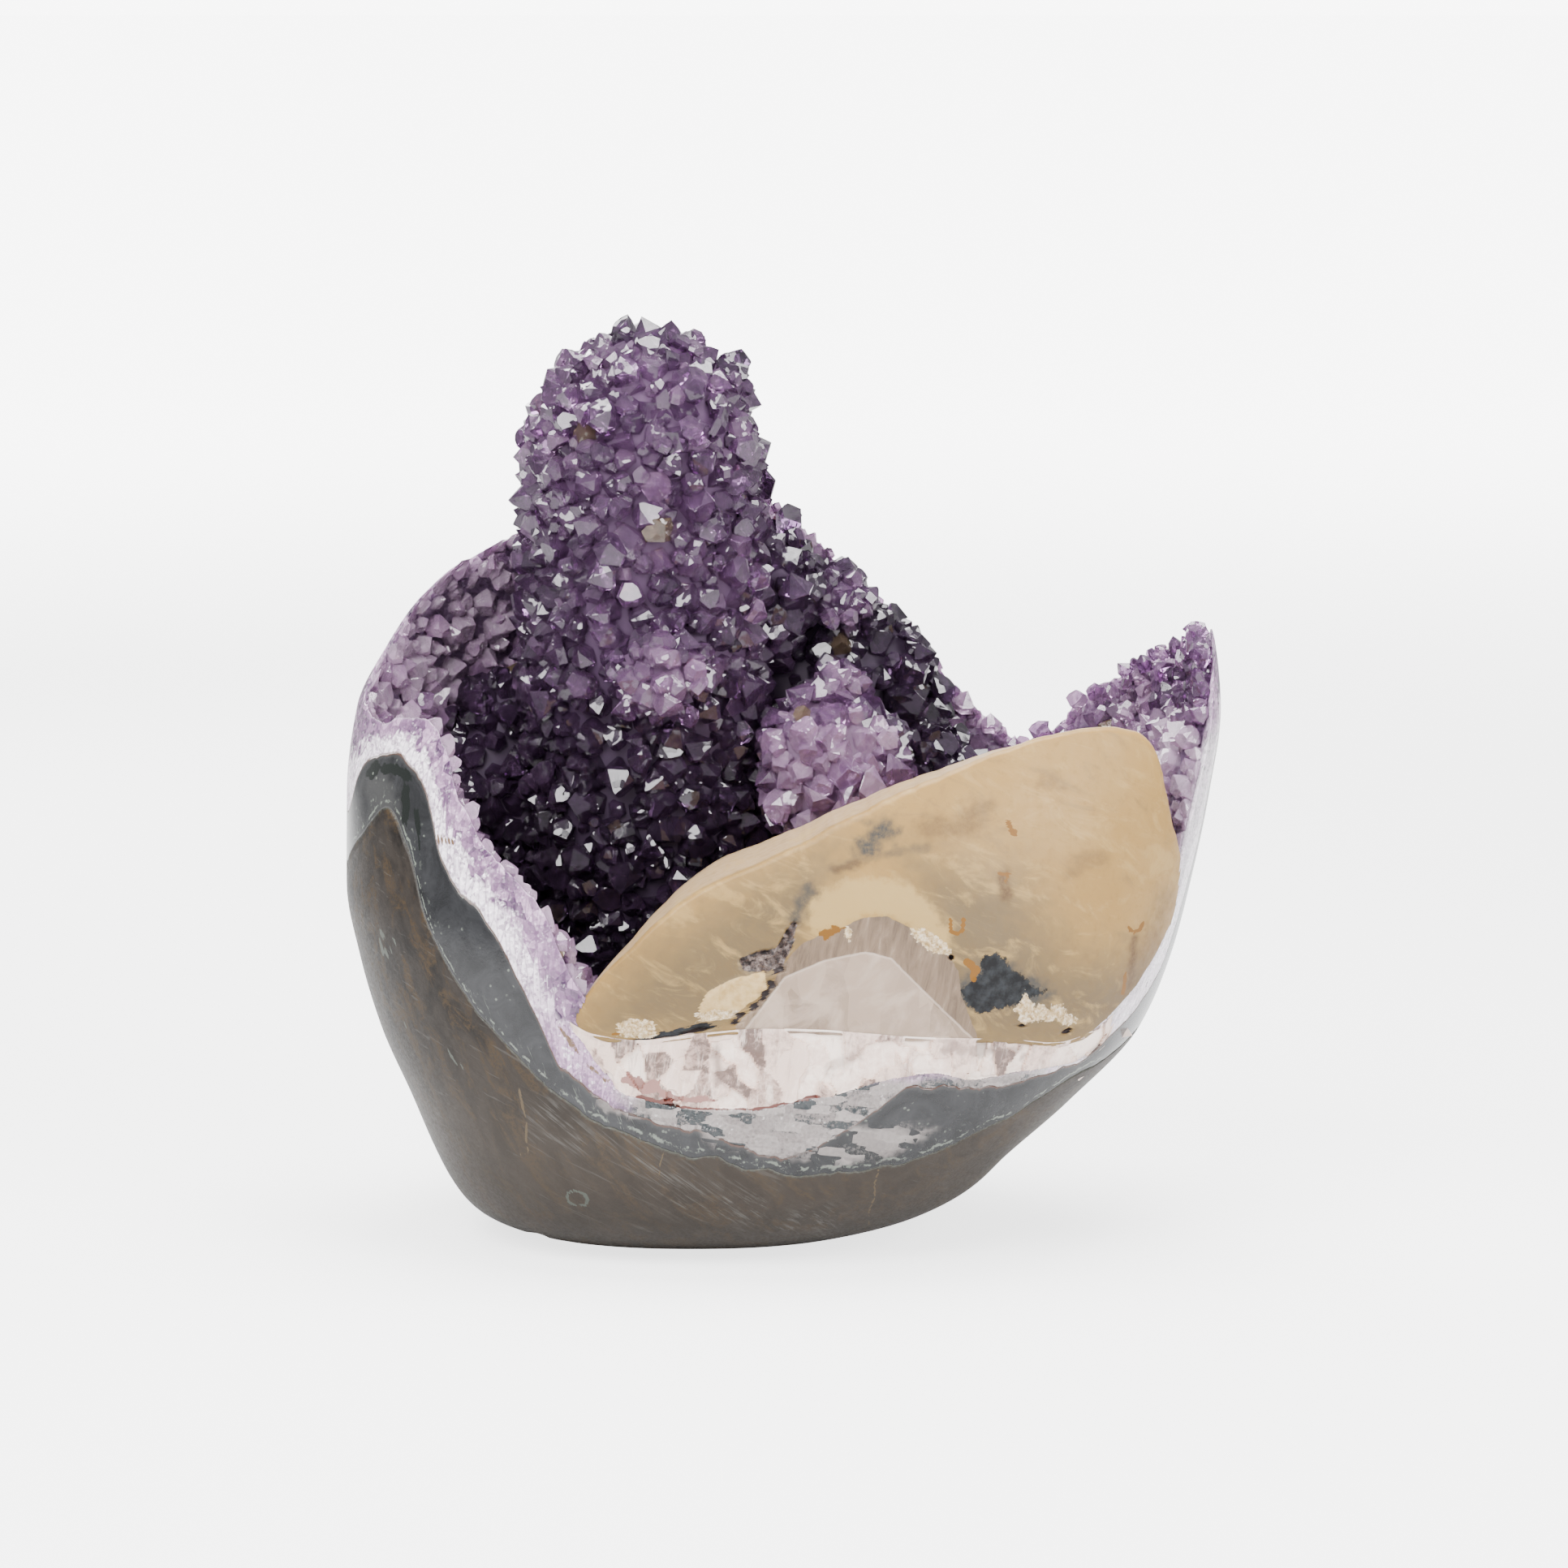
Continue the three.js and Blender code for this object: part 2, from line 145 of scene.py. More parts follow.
@dataclass(frozen=True)
class GroundOutside:
    """The smooth ground outside of the stone, as far as it reaches to each side at each height."""

    levels: tuple[tuple[float, ...], ...] = (
        (0, -49, 12, -27, 33),
        (2, -60, 21.5, -37, 42),
        (6, -67.5, 33.5, -46, 48),
        (11, -71.5, 42, -51.5, 52),
        (18, -75, 49, -56.5, 55),
        (30, -80, 62.3, -60.5, 58),
        (45, -86.6, 76.5, -62, 60.5),
        (60, -91, 83, -62, 62),
        (75, -93.7, 87, -60.5, 62),
        (95, -93.6, 91.2, -55, 60),
        (112, -91.5, 93.6, -46, 56),
        (125, -85, 92.5, -37, 50),
        (137, -76.7, 88, -27, 43),
        (147, -67.5, 80, -17, 35),
        (155, -58, 68, -8, 28),
        (162, -40, 40, 0, 20),
    )
    squareness: float = 2.3

    def sides(self, z: Array) -> list[Array]:
        """Gives the left, right, front and back reach at heights."""
        return [
            SmoothCurve(tuple((level[0], level[side]) for level in self.levels))(z)
            for side in (1, 2, 3, 4)
        ]

    def reach(self, bearing: Array, z: Array) -> tuple[Array, Array, Array]:
        """Gives the middle's x and y, and the outside's distance from it, at bearings and heights."""
        left, right, front, back = self.sides(z)
        across = np.abs(np.cos(bearing)) / ((right - left) / 2)
        along = np.abs(np.sin(bearing)) / ((back - front) / 2)
        power = self.squareness
        radius = (across**power + along**power) ** (-1 / power)
        return (left + right) / 2, (front + back) / 2, radius

    def point(self, bearing: Array, share: Array, z: Array, height: Optional[Array] = None) -> Array:
        """Gives points at shares of the way from the middle to the outside.

        Args:
            bearing: direction from the middle, in radians from +X towards +Y.
            share: 0 in the middle, 1 on the outside.
            z: height whose outline counts.
            height: height of the point itself, where that is another.

        Returns:
            Points of shape (..., 3).
        """
        x, y, radius = self.reach(bearing, z)
        return place(
            x + share * radius * np.cos(bearing),
            y + share * radius * np.sin(bearing),
            z if height is None else height,
        )

    def share(self, points: Array) -> tuple[Array, Array]:
        """Gives each point's share of the way out, and its bearing."""
        left, right, front, back = self.sides(points[..., 2])
        dx = points[..., 0] - (left + right) / 2
        dy = points[..., 1] - (front + back) / 2
        bearing = np.arctan2(dy, dx)
        radius = self.reach(bearing, points[..., 2])[2]
        return np.hypot(dx, dy) / radius, bearing

    def front(self, x: Array, z: Array) -> Array:
        """Gives the y of the outside's front at places seen from the front."""
        left, right, front, back = self.sides(z)
        across = np.clip(np.abs(x - (left + right) / 2) / ((right - left) / 2), 0, 0.999)
        depth = (back - front) / 2
        return (front + back) / 2 - depth * (1 - across**self.squareness) ** (
            1 / self.squareness
        )

    def ground(self, points: Array, reach: float) -> Array:
        """Moves points that lie beyond a share of the way to the outside back to that share."""
        share, bearing = self.share(points)
        return np.where(
            (share > reach)[..., None], self.point(bearing, reach, points[..., 2]), points
        )


@dataclass(frozen=True)
class Layer:
    """The inner face of one layer of the rind.

    Args:
        edge: height where it meets the outside, by bearing in degrees from +X towards +Y.
        floor: its lowest height, in the middle of the hollow.
        ripple: how far its edge wanders up and down, in mm.
        ripple_size: length of those wanderings, in mm.
    """

    edge: Pairs
    floor: float
    ripple: float
    ripple_size: float
    outside: GroundOutside = GroundOutside()
    overshoot: float = 1.12
    flare: float = 0.1

    @cached_property
    def rippled_edge(self) -> tuple[Array, Array]:
        """Bearings once round in radians, and the edge's height at each with its ripple."""
        bearing = np.linspace(0, 2 * math.pi, 2881)
        around = place(80 * np.cos(bearing), 80 * np.sin(bearing), 0 * bearing)
        ripple = self.ripple * grain(around, self.ripple_size, 4, self.floor)
        return bearing, SmoothCurve(self.edge, turn=360.0)(np.degrees(bearing)) + ripple

    def edge_height(self, bearing: Array) -> Array:
        """Gives the height of the layer's edge at bearings in radians."""
        return np.interp(np.mod(bearing, 2 * math.pi), *self.rippled_edge)

    def wall(self, bearing: Array, step: Array, height: Optional[Array] = None) -> Array:
        """Gives points on the layer's wall, from the middle of the floor to the edge.

        Args:
            bearing: direction from the middle, in radians.
            step: how far up the wall: 0 in the middle of the floor, 1 at the edge.
            height: the edge's height at each bearing, where that is known.

        Returns:
            Points of shape (..., 3).
        """
        if height is None:
            height = self.edge_height(bearing)
        edge_angle = math.asin(1 / self.overshoot)
        angle = step * edge_angle
        rise = (1 - np.cos(angle)) / (1 - math.cos(edge_angle))
        z = self.floor + (height - self.floor) * rise
        flare = 1 - self.flare * (1 - step**4)
        return self.outside.point(bearing, self.overshoot * np.sin(angle) * flare, z)


OUTSIDE = GroundOutside()
BASALT = Layer(
    edge=(
        (0, 52), (20, 60), (40, 54), (60, 70), (85, 92), (110, 104), (140, 106), (160, 96), (178, 82),
        (186, 80), (194, 87), (201, 94), (206, 87), (212, 70), (220, 54), (228, 43), (240, 34),
        (255, 28), (272, 24.5), (290, 22), (304, 23.5), (318, 29), (334, 40), (346, 44),
    ),
    floor=15,
    ripple=1.1,
    ripple_size=9,
)
AGATE = Layer(
    edge=(
        (2, 112), (15, 106), (30, 88), (41, 76), (52, 84), (65, 104), (85, 124), (110, 134), (140, 132),
        (160, 120), (176, 98), (187, 91), (195, 103.5), (200, 105.5), (206, 101), (213, 84), (221, 74),
        (227, 61), (234, 44), (248, 35), (264, 31), (280, 26), (290, 32), (300, 41), (315, 39.5),
        (330, 42), (338, 49), (346, 58), (350, 76), (355, 106),
    ),
    floor=21,
    ripple=1.0,
    ripple_size=5,
)
QUARTZ = Layer(
    edge=(
        (0, 128), (14, 122), (29, 111), (37, 101), (42, 98), (50, 106), (60, 122), (74, 134), (92, 146),
        (120, 154), (150, 152), (165, 147), (178, 132), (187, 115), (195, 111.5), (202, 113.5),
        (208, 108), (214, 96), (221, 86), (229, 78), (236, 62), (246, 48), (262, 44), (290, 44),
        (320, 48), (336, 58), (342, 70), (347, 98), (353, 121),
    ),
    floor=34,
    ripple=1.2,
    ripple_size=4,
)


# Mesh tools


def clear_selection() -> None:
    """Deselects everything, so that an operator acts on its own piece alone."""
    bpy.ops.object.select_all(action="DESELECT")


def pick(piece: Piece) -> None:
    """Makes a piece the only selected and active one."""
    clear_selection()
    piece.select_set(True)
    bpy.context.view_layer.objects.active = piece


def vertices_of(piece: Piece) -> Array:
    """Gives a mesh's vertices as an array of shape (n, 3)."""
    flat = np.empty(len(piece.data.vertices) * 3, np.float32)
    piece.data.vertices.foreach_get("co", flat)
    return flat.reshape(-1, 3).astype(float)


def move_vertices(piece: Piece, points: Array) -> None:
    """Puts a mesh's vertices at points given in mm."""
    piece.data.vertices.foreach_set("co", (points * MM).astype(np.float32).ravel())
    piece.data.update()


def store(piece: Piece, name: str, values: Array) -> None:
    """Stores one number or one vector for each vertex, for the shaders to read."""
    kind = "FLOAT" if values.ndim == 1 else "FLOAT_VECTOR"
    attribute = piece.data.attributes.new(name, kind, "POINT")
    key = "value" if values.ndim == 1 else "vector"
    attribute.data.foreach_set(key, values.astype(np.float32).ravel())


def store_all(piece: Piece, values: dict[str, Array]) -> None:
    """Stores several named numbers for each vertex."""
    for name, numbers in values.items():
        store(piece, name, numbers)


def turn_faces_out(piece: Piece) -> None:
    """Turns all faces of a closed mesh outwards."""
    pick(piece)
    bpy.ops.object.mode_set(mode="EDIT")
    bpy.ops.mesh.select_all(action="SELECT")
    bpy.ops.mesh.normals_make_consistent(inside=False)
    bpy.ops.object.mode_set(mode="OBJECT")


def sphere_net(name: str, columns: int, rows: int, crowd: float = 0.0) -> tuple[Piece, Array, Array]:
    """Adds a UV sphere as a net whose vertices are then moved into place.

    Args:
        name: name of the piece.
        columns: faces round it.
        rows: faces from its lower pole to its upper one.
        crowd: above 0, the columns lie closer together towards the front.

    Returns:
        The piece, and the bearing and row number of each vertex.
    """
    clear_selection()
    bpy.ops.mesh.primitive_uv_sphere_add(segments=columns, ring_count=rows, radius=1.0)
    piece = bpy.context.object
    piece.name = piece.data.name = name
    co = vertices_of(piece)
    bearing = np.arctan2(co[:, 1], co[:, 0])
    row = np.rint(np.arccos(np.clip(-co[:, 2], -1, 1)) / math.pi * rows)
    return piece, bearing - crowd * np.cos(bearing), row


def mesh_from(name: str, points: Array, corners: Array, sizes: Array) -> Piece:
    """Makes one object of many joined faces.

    Args:
        name: name of the piece.
        points: vertices, in mm.
        corners: the vertex of each face corner, face after face.
        sizes: how many corners each face has.

    Returns:
        The object, linked to the scene.
    """
    mesh = bpy.data.meshes.new(name)
    mesh.vertices.add(len(points))
    mesh.vertices.foreach_set("co", (points * MM).astype(np.float32).ravel())
    mesh.loops.add(len(corners))
    mesh.loops.foreach_set("vertex_index", corners.astype(np.int32))
    mesh.polygons.add(len(sizes))
    starts = np.concatenate([[0], np.cumsum(sizes)[:-1]])
    mesh.polygons.foreach_set("loop_start", starts.astype(np.int32))
    mesh.update(calc_edges=True)
    mesh.validate()
    mesh.shade_flat()
    piece = bpy.data.objects.new(name, mesh)
    bpy.context.scene.collection.objects.link(piece)
    return piece


def deliver(piece: Piece, slot: Slot, material: Material, *nodes: str) -> None:
    """Hands a finished piece to the frame.

    Args:
        piece: the finished piece, in place.
        slot: the record's slot that its finish belongs to; not used.
        material: its finish.
        nodes: the CAD nodes that it stands for.
    """
    piece.data.materials.clear()
    piece.data.materials.append(material)
    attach(piece, "root")
    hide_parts(*nodes)
    log.info("%s: %d vertices", piece.name, len(piece.data.vertices))


# Finishes


class Recipe:
    """One material, built node by node."""

    def __init__(self, name: str) -> None:
        """Starts a material with an output and a principled surface."""
        self.material = bpy.data.materials.new(name)
        self.material.use_nodes = True
        self.tree = self.material.node_tree
        self.tree.nodes.clear()
        self.surface = self.add("ShaderNodeBsdfPrincipled")
        output = self.add("ShaderNodeOutputMaterial")
        self.tree.links.new(self.surface.outputs["BSDF"], output.inputs["Surface"])

    def add(self, kind: str, **settings: object) -> bpy.types.Node:
        """Adds a node and sets its properties."""
        node = self.tree.nodes.new(kind)
        for key, value in settings.items():
            setattr(node, key, value)
        return node

    def feed(self, socket: Socket, value: object) -> None:
        """Links a socket to another one, or sets its constant."""
        if isinstance(value, Socket):
            self.tree.links.new(value, socket)
        elif isinstance(value, tuple) and len(value) == 3 and socket.type == "RGBA":
            socket.default_value = (*value, 1.0)
        else:
            socket.default_value = value

    def position(self, scale: Point = (1, 1, 1), turn: float = 0.0) -> Socket:
        """Gives places on the object in mm.

        Args:
            scale: how much they are stretched along each axis.
            turn: by how many degrees they are turned first, seen from the front, clockwise from +X.

        Returns:
            The places.
        """
        coordinates = self.add("ShaderNodeTexCoord")
        mapping = self.add("ShaderNodeMapping", vector_type="TEXTURE")
        self.feed(mapping.inputs["Vector"], coordinates.outputs["Object"])
        mapping.inputs["Rotation"].default_value = (0, math.radians(turn), 0)
        mapping.inputs["Scale"].default_value = tuple(MM / s for s in scale)
        return mapping.outputs["Vector"]

    def height(self) -> Socket:
        """Gives the height above the ground, in mm."""
        split = self.add("ShaderNodeSeparateXYZ")
        self.feed(split.inputs["Vector"], self.position())
        return split.outputs["Z"]

    def stored(self, name: str) -> bpy.types.Node:
        """Reads a stored number or vector."""
        return self.add("ShaderNodeAttribute", attribute_name=name, attribute_type="GEOMETRY")

    def number(self, name: str) -> Socket:
        """Reads a stored number."""
        return self.stored(name).outputs["Fac"]

    def math(self, operation: str, a: object, b: object = 0.0, clamp: bool = False) -> Socket:
        """Combines two numbers."""
        node = self.add("ShaderNodeMath", operation=operation, use_clamp=clamp)
        self.feed(node.inputs[0], a)
        self.feed(node.inputs[1], b)
        return node.outputs[0]

    def total(self, *parts: tuple[object, float]) -> Socket:
        """Adds up numbers, each times its weight."""
        terms = [self.math("MULTIPLY", value, weight) for value, weight in parts]
        return reduce(lambda a, b: self.math("ADD", a, b), terms)

    def around_half(self, value: object, weight: float) -> Socket:
        """Gives how far a number lies above 0.5, times a weight."""
        return self.math("MULTIPLY", self.math("SUBTRACT", value, 0.5), weight)

    def span(
        self, value: object, low: float, high: float, to_low: float = 0.0, to_high: float = 1.0
    ) -> Socket:
        """Runs softly from to_low at low to to_high at high."""
        node = self.add("ShaderNodeMapRange", interpolation_type="SMOOTHSTEP")
        flip = low > high
        self.feed(node.inputs["Value"], value)
        node.inputs["From Min"].default_value = high if flip else low
        node.inputs["From Max"].default_value = low if flip else high
        node.inputs["To Min"].default_value = to_high if flip else to_low
        node.inputs["To Max"].default_value = to_low if flip else to_high
        return node.outputs["Result"]

    def noise(
        self,
        vector: object,
        scale: float,
        detail: float = 3.0,
        roughness: float = 0.55,
        distortion: float = 0.0,
    ) -> Socket:
        """Soft noise from 0 to 1."""
        node = self.add("ShaderNodeTexNoise")
        self.feed(node.inputs["Vector"], vector)
        node.inputs["Scale"].default_value = scale
        node.inputs["Detail"].default_value = detail
        node.inputs["Roughness"].default_value = roughness
        node.inputs["Distortion"].default_value = distortion
        return node.outputs["Fac"]

    def cells(
        self, vector: object, scale: float, feature: str = "F1", metric: str = "EUCLIDEAN"
    ) -> bpy.types.Node:
        """Voronoi cells."""
        node = self.add("ShaderNodeTexVoronoi", feature=feature, distance=metric)
        self.feed(node.inputs["Vector"], vector)
        node.inputs["Scale"].default_value = scale
        return node

    def ramp(self, value: object, *stops: tuple[float, Colour]) -> Socket:
        """Colours along a number."""
        node = self.add("ShaderNodeValToRGB")
        self.feed(node.inputs["Fac"], value)
        elements = node.color_ramp.elements
        elements[0].position, elements[0].color = stops[0][0], (*stops[0][1], 1.0)
        elements[1].position, elements[1].color = stops[-1][0], (*stops[-1][1], 1.0)
        for where, colour in stops[1:-1]:
            elements.new(where).color = (*colour, 1.0)
        return node.outputs["Color"]

    def crisp(self, name: str, fine: object, amount: float = 0.5) -> Socket:
        """Reads a stored cover and gives it a sharp, ragged edge.

        Args:
            name: the stored number, from 0 to 1.
            fine: noise that roughens the edge.
            amount: how far the noise moves the edge.

        Returns:
            0 outside the mark and 1 inside it.
        """
        rough = self.around_half(fine, amount)
        return self.span(self.math("ADD", self.number(name), rough), 0.38, 0.54)

    def blend(self, share: object, a: object, b: object) -> Socket:
        """Mixes two colours."""
        node = self.add("ShaderNodeMix", data_type="RGBA")
        self.feed(node.inputs[0], share)
        self.feed(node.inputs[6], a)
        self.feed(node.inputs[7], b)
        return node.outputs[2]

    def facets(self, cells: bpy.types.Node, amount: float) -> Socket:
        """Tilts the surface a little another way in each cell, as growth faces do."""
        geometry = self.add("ShaderNodeNewGeometry")
        centred = self.add("ShaderNodeVectorMath", operation="SUBTRACT")
        self.feed(centred.inputs[0], cells.outputs["Color"])
        centred.inputs[1].default_value = (0.5, 0.5, 0.5)
        scaled = self.add("ShaderNodeVectorMath", operation="SCALE")
        self.feed(scaled.inputs[0], centred.outputs[0])
        scaled.inputs["Scale"].default_value = amount
        tilted = self.add("ShaderNodeVectorMath", operation="ADD")
        self.feed(tilted.inputs[0], geometry.outputs["Normal"])
        self.feed(tilted.inputs[1], scaled.outputs[0])
        even = self.add("ShaderNodeVectorMath", operation="NORMALIZE")
        self.feed(even.inputs[0], tilted.outputs[0])
        return even.outputs[0]

    def bump(
        self, height: object, distance: float, strength: float = 1.0, under: object = None
    ) -> Socket:
        """Raises the surface by a height given from 0 to 1, over a distance in mm."""
        node = self.add("ShaderNodeBump")
        node.inputs["Strength"].default_value = strength
        node.inputs["Distance"].default_value = distance * MM
        self.feed(node.inputs["Height"], height)
        if under is not None:
            self.feed(node.inputs["Normal"], under)
        return node.outputs["Normal"]

    def finish(self, **inputs: object) -> Material:
        """Feeds the surface's inputs, named with _ for spaces, and gives the material."""
        for key, value in inputs.items():
            self.feed(self.surface.inputs[key.replace("_", " ")], value)
        return self.material


@dataclass(frozen=True)
class BasaltFinish:
    """Ground basalt: brown-grey, mottled with rust, with grinding marks, veins and ringed spots, and
    painted fill light low down.
    """

    dark: Colour = (0.0065, 0.0047, 0.0037)
    pale: Colour = (0.022, 0.0172, 0.0140)
    rust: Colour = (0.040, 0.0245, 0.0105)
    painted_fill: Colour = (0.056, 0.045, 0.036)
    scratch: Colour = (0.085, 0.080, 0.073)
    vein: Colour = (0.075, 0.055, 0.033)
    ring: Colour = (0.06, 0.066, 0.056)

    def material(self) -> Material:
        """Builds the material."""
        r = Recipe("basalt")
        place = r.position()
        mottle = r.noise(r.position((0.5, 1, 1), 60), 0.16, 7, 0.66, 0.5)
        speck = r.noise(place, 1.3, 5, 0.72)
        colour = r.ramp(mottle, (0.38, self.dark), (0.6, self.pale))
        colour = r.blend(r.span(speck, 0.5, 0.7, 0.0, 0.4), colour, self.pale)
        rusty = r.span(r.noise(r.position((0.4, 1, 1), 55), 0.2, 6, 0.66, 0.8), 0.48, 0.62, 0.0, 0.85)
        colour = r.blend(r.math("MULTIPLY", rusty, r.span(speck, 0.3, 0.6)), colour, self.rust)
        # Paler towards the bottom: painted fill light, so the lower part, which the lamps reach less,
        # looks as bright as the middle.
        lift = r.span(r.height(), 60, 20, 0.0, 0.42)
        colour = r.blend(lift, colour, self.painted_fill)
        strokes = r.noise(r.position((0.05, 0.3, 1.5), 38), 1.0, 4, 0.7, 0.2)
        patch = r.math("MULTIPLY", r.number("brush"), r.span(r.noise(place, 0.08, 3), 0.35, 0.6))
        scratch = r.math("MULTIPLY", r.span(strokes, 0.5, 0.66), patch)
        colour = r.blend(r.math("MULTIPLY", scratch, 0.75), colour, self.scratch)
        faint = r.noise(r.position((0.04, 0.2, 1.2), 25), 1.0, 3, 0.6, 0.2)
        colour = r.blend(r.span(faint, 0.62, 0.72, 0.0, 0.3), colour, self.scratch)
        colour = r.blend(r.crisp("vein", speck, 0.9), colour, self.vein)
        colour = r.blend(r.crisp("ring", speck, 0.9), colour, self.ring)
        edge = r.math("ADD", r.number("from_above"), r.math("MULTIPLY", speck, 2.4))
        colour = r.blend(r.span(edge, 1.9, 1.2, 0.0, 0.6), colour, self.ring)
        height = r.total((speck, 0.5), (strokes, 0.5))
        return r.finish(
            Base_Color=colour,
            Roughness=r.span(speck, 0.3, 0.8, 0.38, 0.58),
            Specular_IOR_Level=0.22,
            IOR=1.5,
            Normal=r.bump(height, 0.12, 0.4),
        )


@dataclass(frozen=True)
class AgateFinish:
    """Polished agate: slate grey, with a broken pale line to the basalt, a brown one to the quartz."""

    body: Colour = (0.0085, 0.0088, 0.0100)
    pale: Colour = (0.024, 0.0245, 0.027)
    cloud: Colour = (0.038, 0.038, 0.038)
    clear: Colour = (0.13, 0.132, 0.138)
    chalk: Colour = (0.16, 0.14, 0.135)
    line: Colour = (0.12, 0.135, 0.115)
    brown: Colour = (0.065, 0.036, 0.029)
    moss: Colour = (0.004, 0.006, 0.005)
    white: Colour = (0.25, 0.225, 0.215)
    black: Colour = (0.012, 0.012, 0.013)

    def material(self) -> Material:
        """Builds the material."""
        r = Recipe("agate")
        place = r.position()
        inward = r.number("from_below")
        outward = r.number("from_above")
        fine = r.noise(place, 1.1, 5, 0.68)
        cloud = r.noise(place, 0.12, 6, 0.62, 1.2)
        colour = r.ramp(cloud, (0.36, self.body), (0.66, self.pale))
        colour = r.blend(r.number("cloud"), colour, self.cloud)
        colour = r.blend(r.number("clear"), colour, self.clear)
        wander = r.around_half(r.noise(place, 0.3, 5, 0.65), 3.0)
        near = r.math("ABSOLUTE", r.math("SUBTRACT", r.math("ADD", inward, wander), 1.3))
        broken = r.span(r.noise(place, 0.35, 4, 0.65), 0.46, 0.54)
        colour = r.blend(r.math("MULTIPLY", r.span(near, 0.45, 0.15), broken), colour, self.line)
        streaks = r.noise(r.position((1.4, 1.4, 0.22), -22), 1.0, 4, 0.68, 0.5)
        beside = r.span(r.math("ADD", inward, wander), 7.0, 2.0)
        streaky = r.math("MULTIPLY", r.span(streaks, 0.6, 0.68), beside)
        colour = r.blend(r.math("MULTIPLY", streaky, 0.7), colour, self.line)
        edge = r.math("ADD", outward, r.around_half(fine, 1.2))
        colour = r.blend(r.span(edge, 1.3, 0.7, 0.0, 0.5), colour, self.cloud)
        colour = r.blend(r.span(edge, 0.55, 0.25), colour, self.brown)
        colour = r.blend(r.crisp("moss", r.noise(place, 0.9, 5, 0.7), 0.9), colour, self.moss)
        blocks = r.cells(r.position((0.45, 0.45, 1.2), 8), 0.42, metric="CHEBYCHEV")
        torn = r.total((blocks.outputs["Color"], 0.6), (fine, 0.4))
        chalk = r.math("MULTIPLY", r.number("chalk"), r.span(torn, 0.38, 0.5))
        chalky = r.ramp(torn, (0.42, self.cloud), (0.52, self.chalk), (0.75, self.white))
        colour = r.blend(chalk, colour, chalky)
        speck = r.cells(place, 0.5)
        dots = r.span(speck.outputs["Distance"], 0.2, 0.1, 0.0, 0.9)
        dotted = r.math("MULTIPLY", dots, r.span(cloud, 0.5, 0.62))
        colour = r.blend(dotted, colour, self.line)
        black = r.span(r.noise(r.position((2.2, 2.2, 0.45)), 0.5, 5, 0.75, 1.6), 0.6, 0.64)
        colour = r.blend(r.math("MULTIPLY", black, r.number("dendrite")), colour, self.black)
        return r.finish(
            Base_Color=colour,
            Roughness=r.math("ADD", 0.14, r.math("MULTIPLY", chalk, 0.35)),
            Specular_IOR_Level=0.4,
            IOR=1.54,
            Normal=r.bump(r.math("ADD", fine, r.math("MULTIPLY", chalk, 0.6)), 0.12, 0.35),
        )


